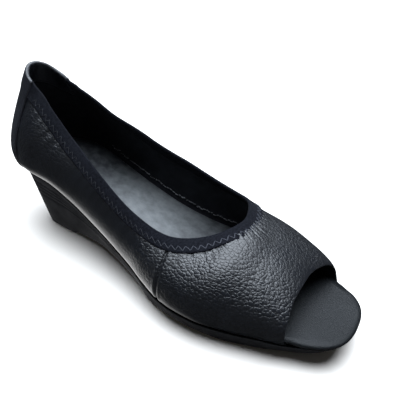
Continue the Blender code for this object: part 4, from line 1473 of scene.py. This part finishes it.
# Stage
def add_floor():
    mesh = bpy.data.meshes.new("floor")
    corners = [(x * FLOOR_REACH, y * FLOOR_REACH, 0) for x, y in ((-1, -1), (1, -1), (1, 1), (-1, 1))]
    mesh.from_pydata(corners, [], [(0, 1, 2, 3)])
    pale, paler = FLOOR_TONES
    material, tree, shader = new_material("floor_paint", pale, pale)
    mottle = add_node(tree, "ShaderNodeGroup", {"Cloud mm": 400.0, "Speck mm": 30.0}, node_tree=MOTTLE)
    glossy = add_node(tree, "ShaderNodeLightPath").outputs["Is Glossy Ray"]
    tone = add_node(tree, "ShaderNodeMix", {
        "Factor": glossy,
        MIX_FIRST: two_tone(tree, mottle.outputs["Tone"], pale, paler),
        MIX_SECOND: FLOOR_MIRRORED,
    }, data_type="RGBA")
    per_reach = (*(1 / reach for reach in GLOW_REACH), 0.0)
    from_heel = vector_node(tree, "MULTIPLY_ADD", object_place(tree), per_reach, (GLOW_SHIFT, 0.0, 0.0))
    away = vector_node(tree, "LENGTH", from_heel[0])["Value"]
    glow = math_node(tree, "MULTIPLY", ranged(tree, away, 1.0, 0.0, *GLOW_FADE), glossy)
    fill(tree, shader, {
        "Base Color": tone.outputs[MIX_RESULT],
        "Emission Color": glow,
        "Emission Strength": GLOW_STRENGTH,
        "Roughness": 0.9,
        "Specular IOR Level": 0.1,
    })
    mesh.materials.append(material)
    add_object("floor", mesh)


def stand(thing, right, up, back, place):
    """Puts a thing at this place, with its axes along these directions."""
    turn = Matrix(np.stack([right, up, back], 1).tolist()).to_4x4()
    turn.translation = tuple(float(v) for v in place)
    thing.matrix_world = turn


def add_key_light():
    lamp = bpy.data.lights.new("key", "SUN")
    lamp.energy = KEY_STRENGTH
    lamp.angle = math.radians(KEY_SPREAD)
    lamp.color = KEY_COLOUR
    back = unit(np.array(KEY_FROM))
    right = unit(np.cross([0, 0, 1], back))
    stand(add_object("key", lamp), right, np.cross(back, right), back, back)


def add_camera():
    yaw, pitch, roll = (math.radians(v) for v in (CAMERA_YAW, CAMERA_PITCH, CAMERA_ROLL))
    back = np.array([math.sin(yaw) * math.cos(pitch), -math.cos(yaw) * math.cos(pitch), math.sin(pitch)])
    right = unit(np.cross(-back, [0, 0, 1]))
    down = np.cross(-back, right)
    turned_right = math.cos(roll) * right + math.sin(roll) * down
    turned_down = -math.sin(roll) * right + math.cos(roll) * down
    lens = bpy.data.cameras.new("camera")
    lens.lens = CAMERA_LENS
    lens.sensor_width = 36.0
    lens.clip_start = 0.01
    camera = add_object("camera", lens)
    stand(camera, turned_right, -turned_down, back, (np.array(CAMERA_EYE) - SHIFT) * MM)
    bpy.context.scene.camera = camera


def set_studio():
    """White behind the shoe, little light from around, and one soft light from above."""
    world = bpy.data.worlds.new("studio")
    world.use_nodes = True
    tree = world.node_tree
    seen = add_node(tree, "ShaderNodeLightPath").outputs["Is Camera Ray"]
    strength = ranged(tree, seen, WORLD_STRENGTH, 1.0, 0.0, 1.0)
    fill(tree, tree.nodes["Background"], {"Color": (1, 1, 1, 1), "Strength": strength})
    bpy.context.scene.world = world
    bpy.context.scene.view_settings.view_transform = "Standard"
    add_key_light()


inner_turns = panel_turns(0, SEAM_INNER, ["last"])
vamp_turns = np.concatenate([
    panel_turns(SEAM_INNER, CORNER_INNER, ["first"]),
    panel_turns(CORNER_INNER, CORNER_OUTER, [])[1:],
    panel_turns(CORNER_OUTER, SEAM_OUTER, ["last"])[1:],
])
outer_turns = panel_turns(SEAM_OUTER, 1, ["first"])
add_panel("vamp", vamp_turns, "upper")
add_panel("quarter_inner", inner_turns)
add_panel("quarter_outer", outer_turns)
add_lining(np.concatenate([inner_turns[:-1:2], vamp_turns[:-1:2], outer_turns[:-1:2]]))
add_band()
add_zigzag()
add_stay()
add_footbed()
add_lining_stitches()
add_wedge()
add_floor()
add_camera()
set_studio()
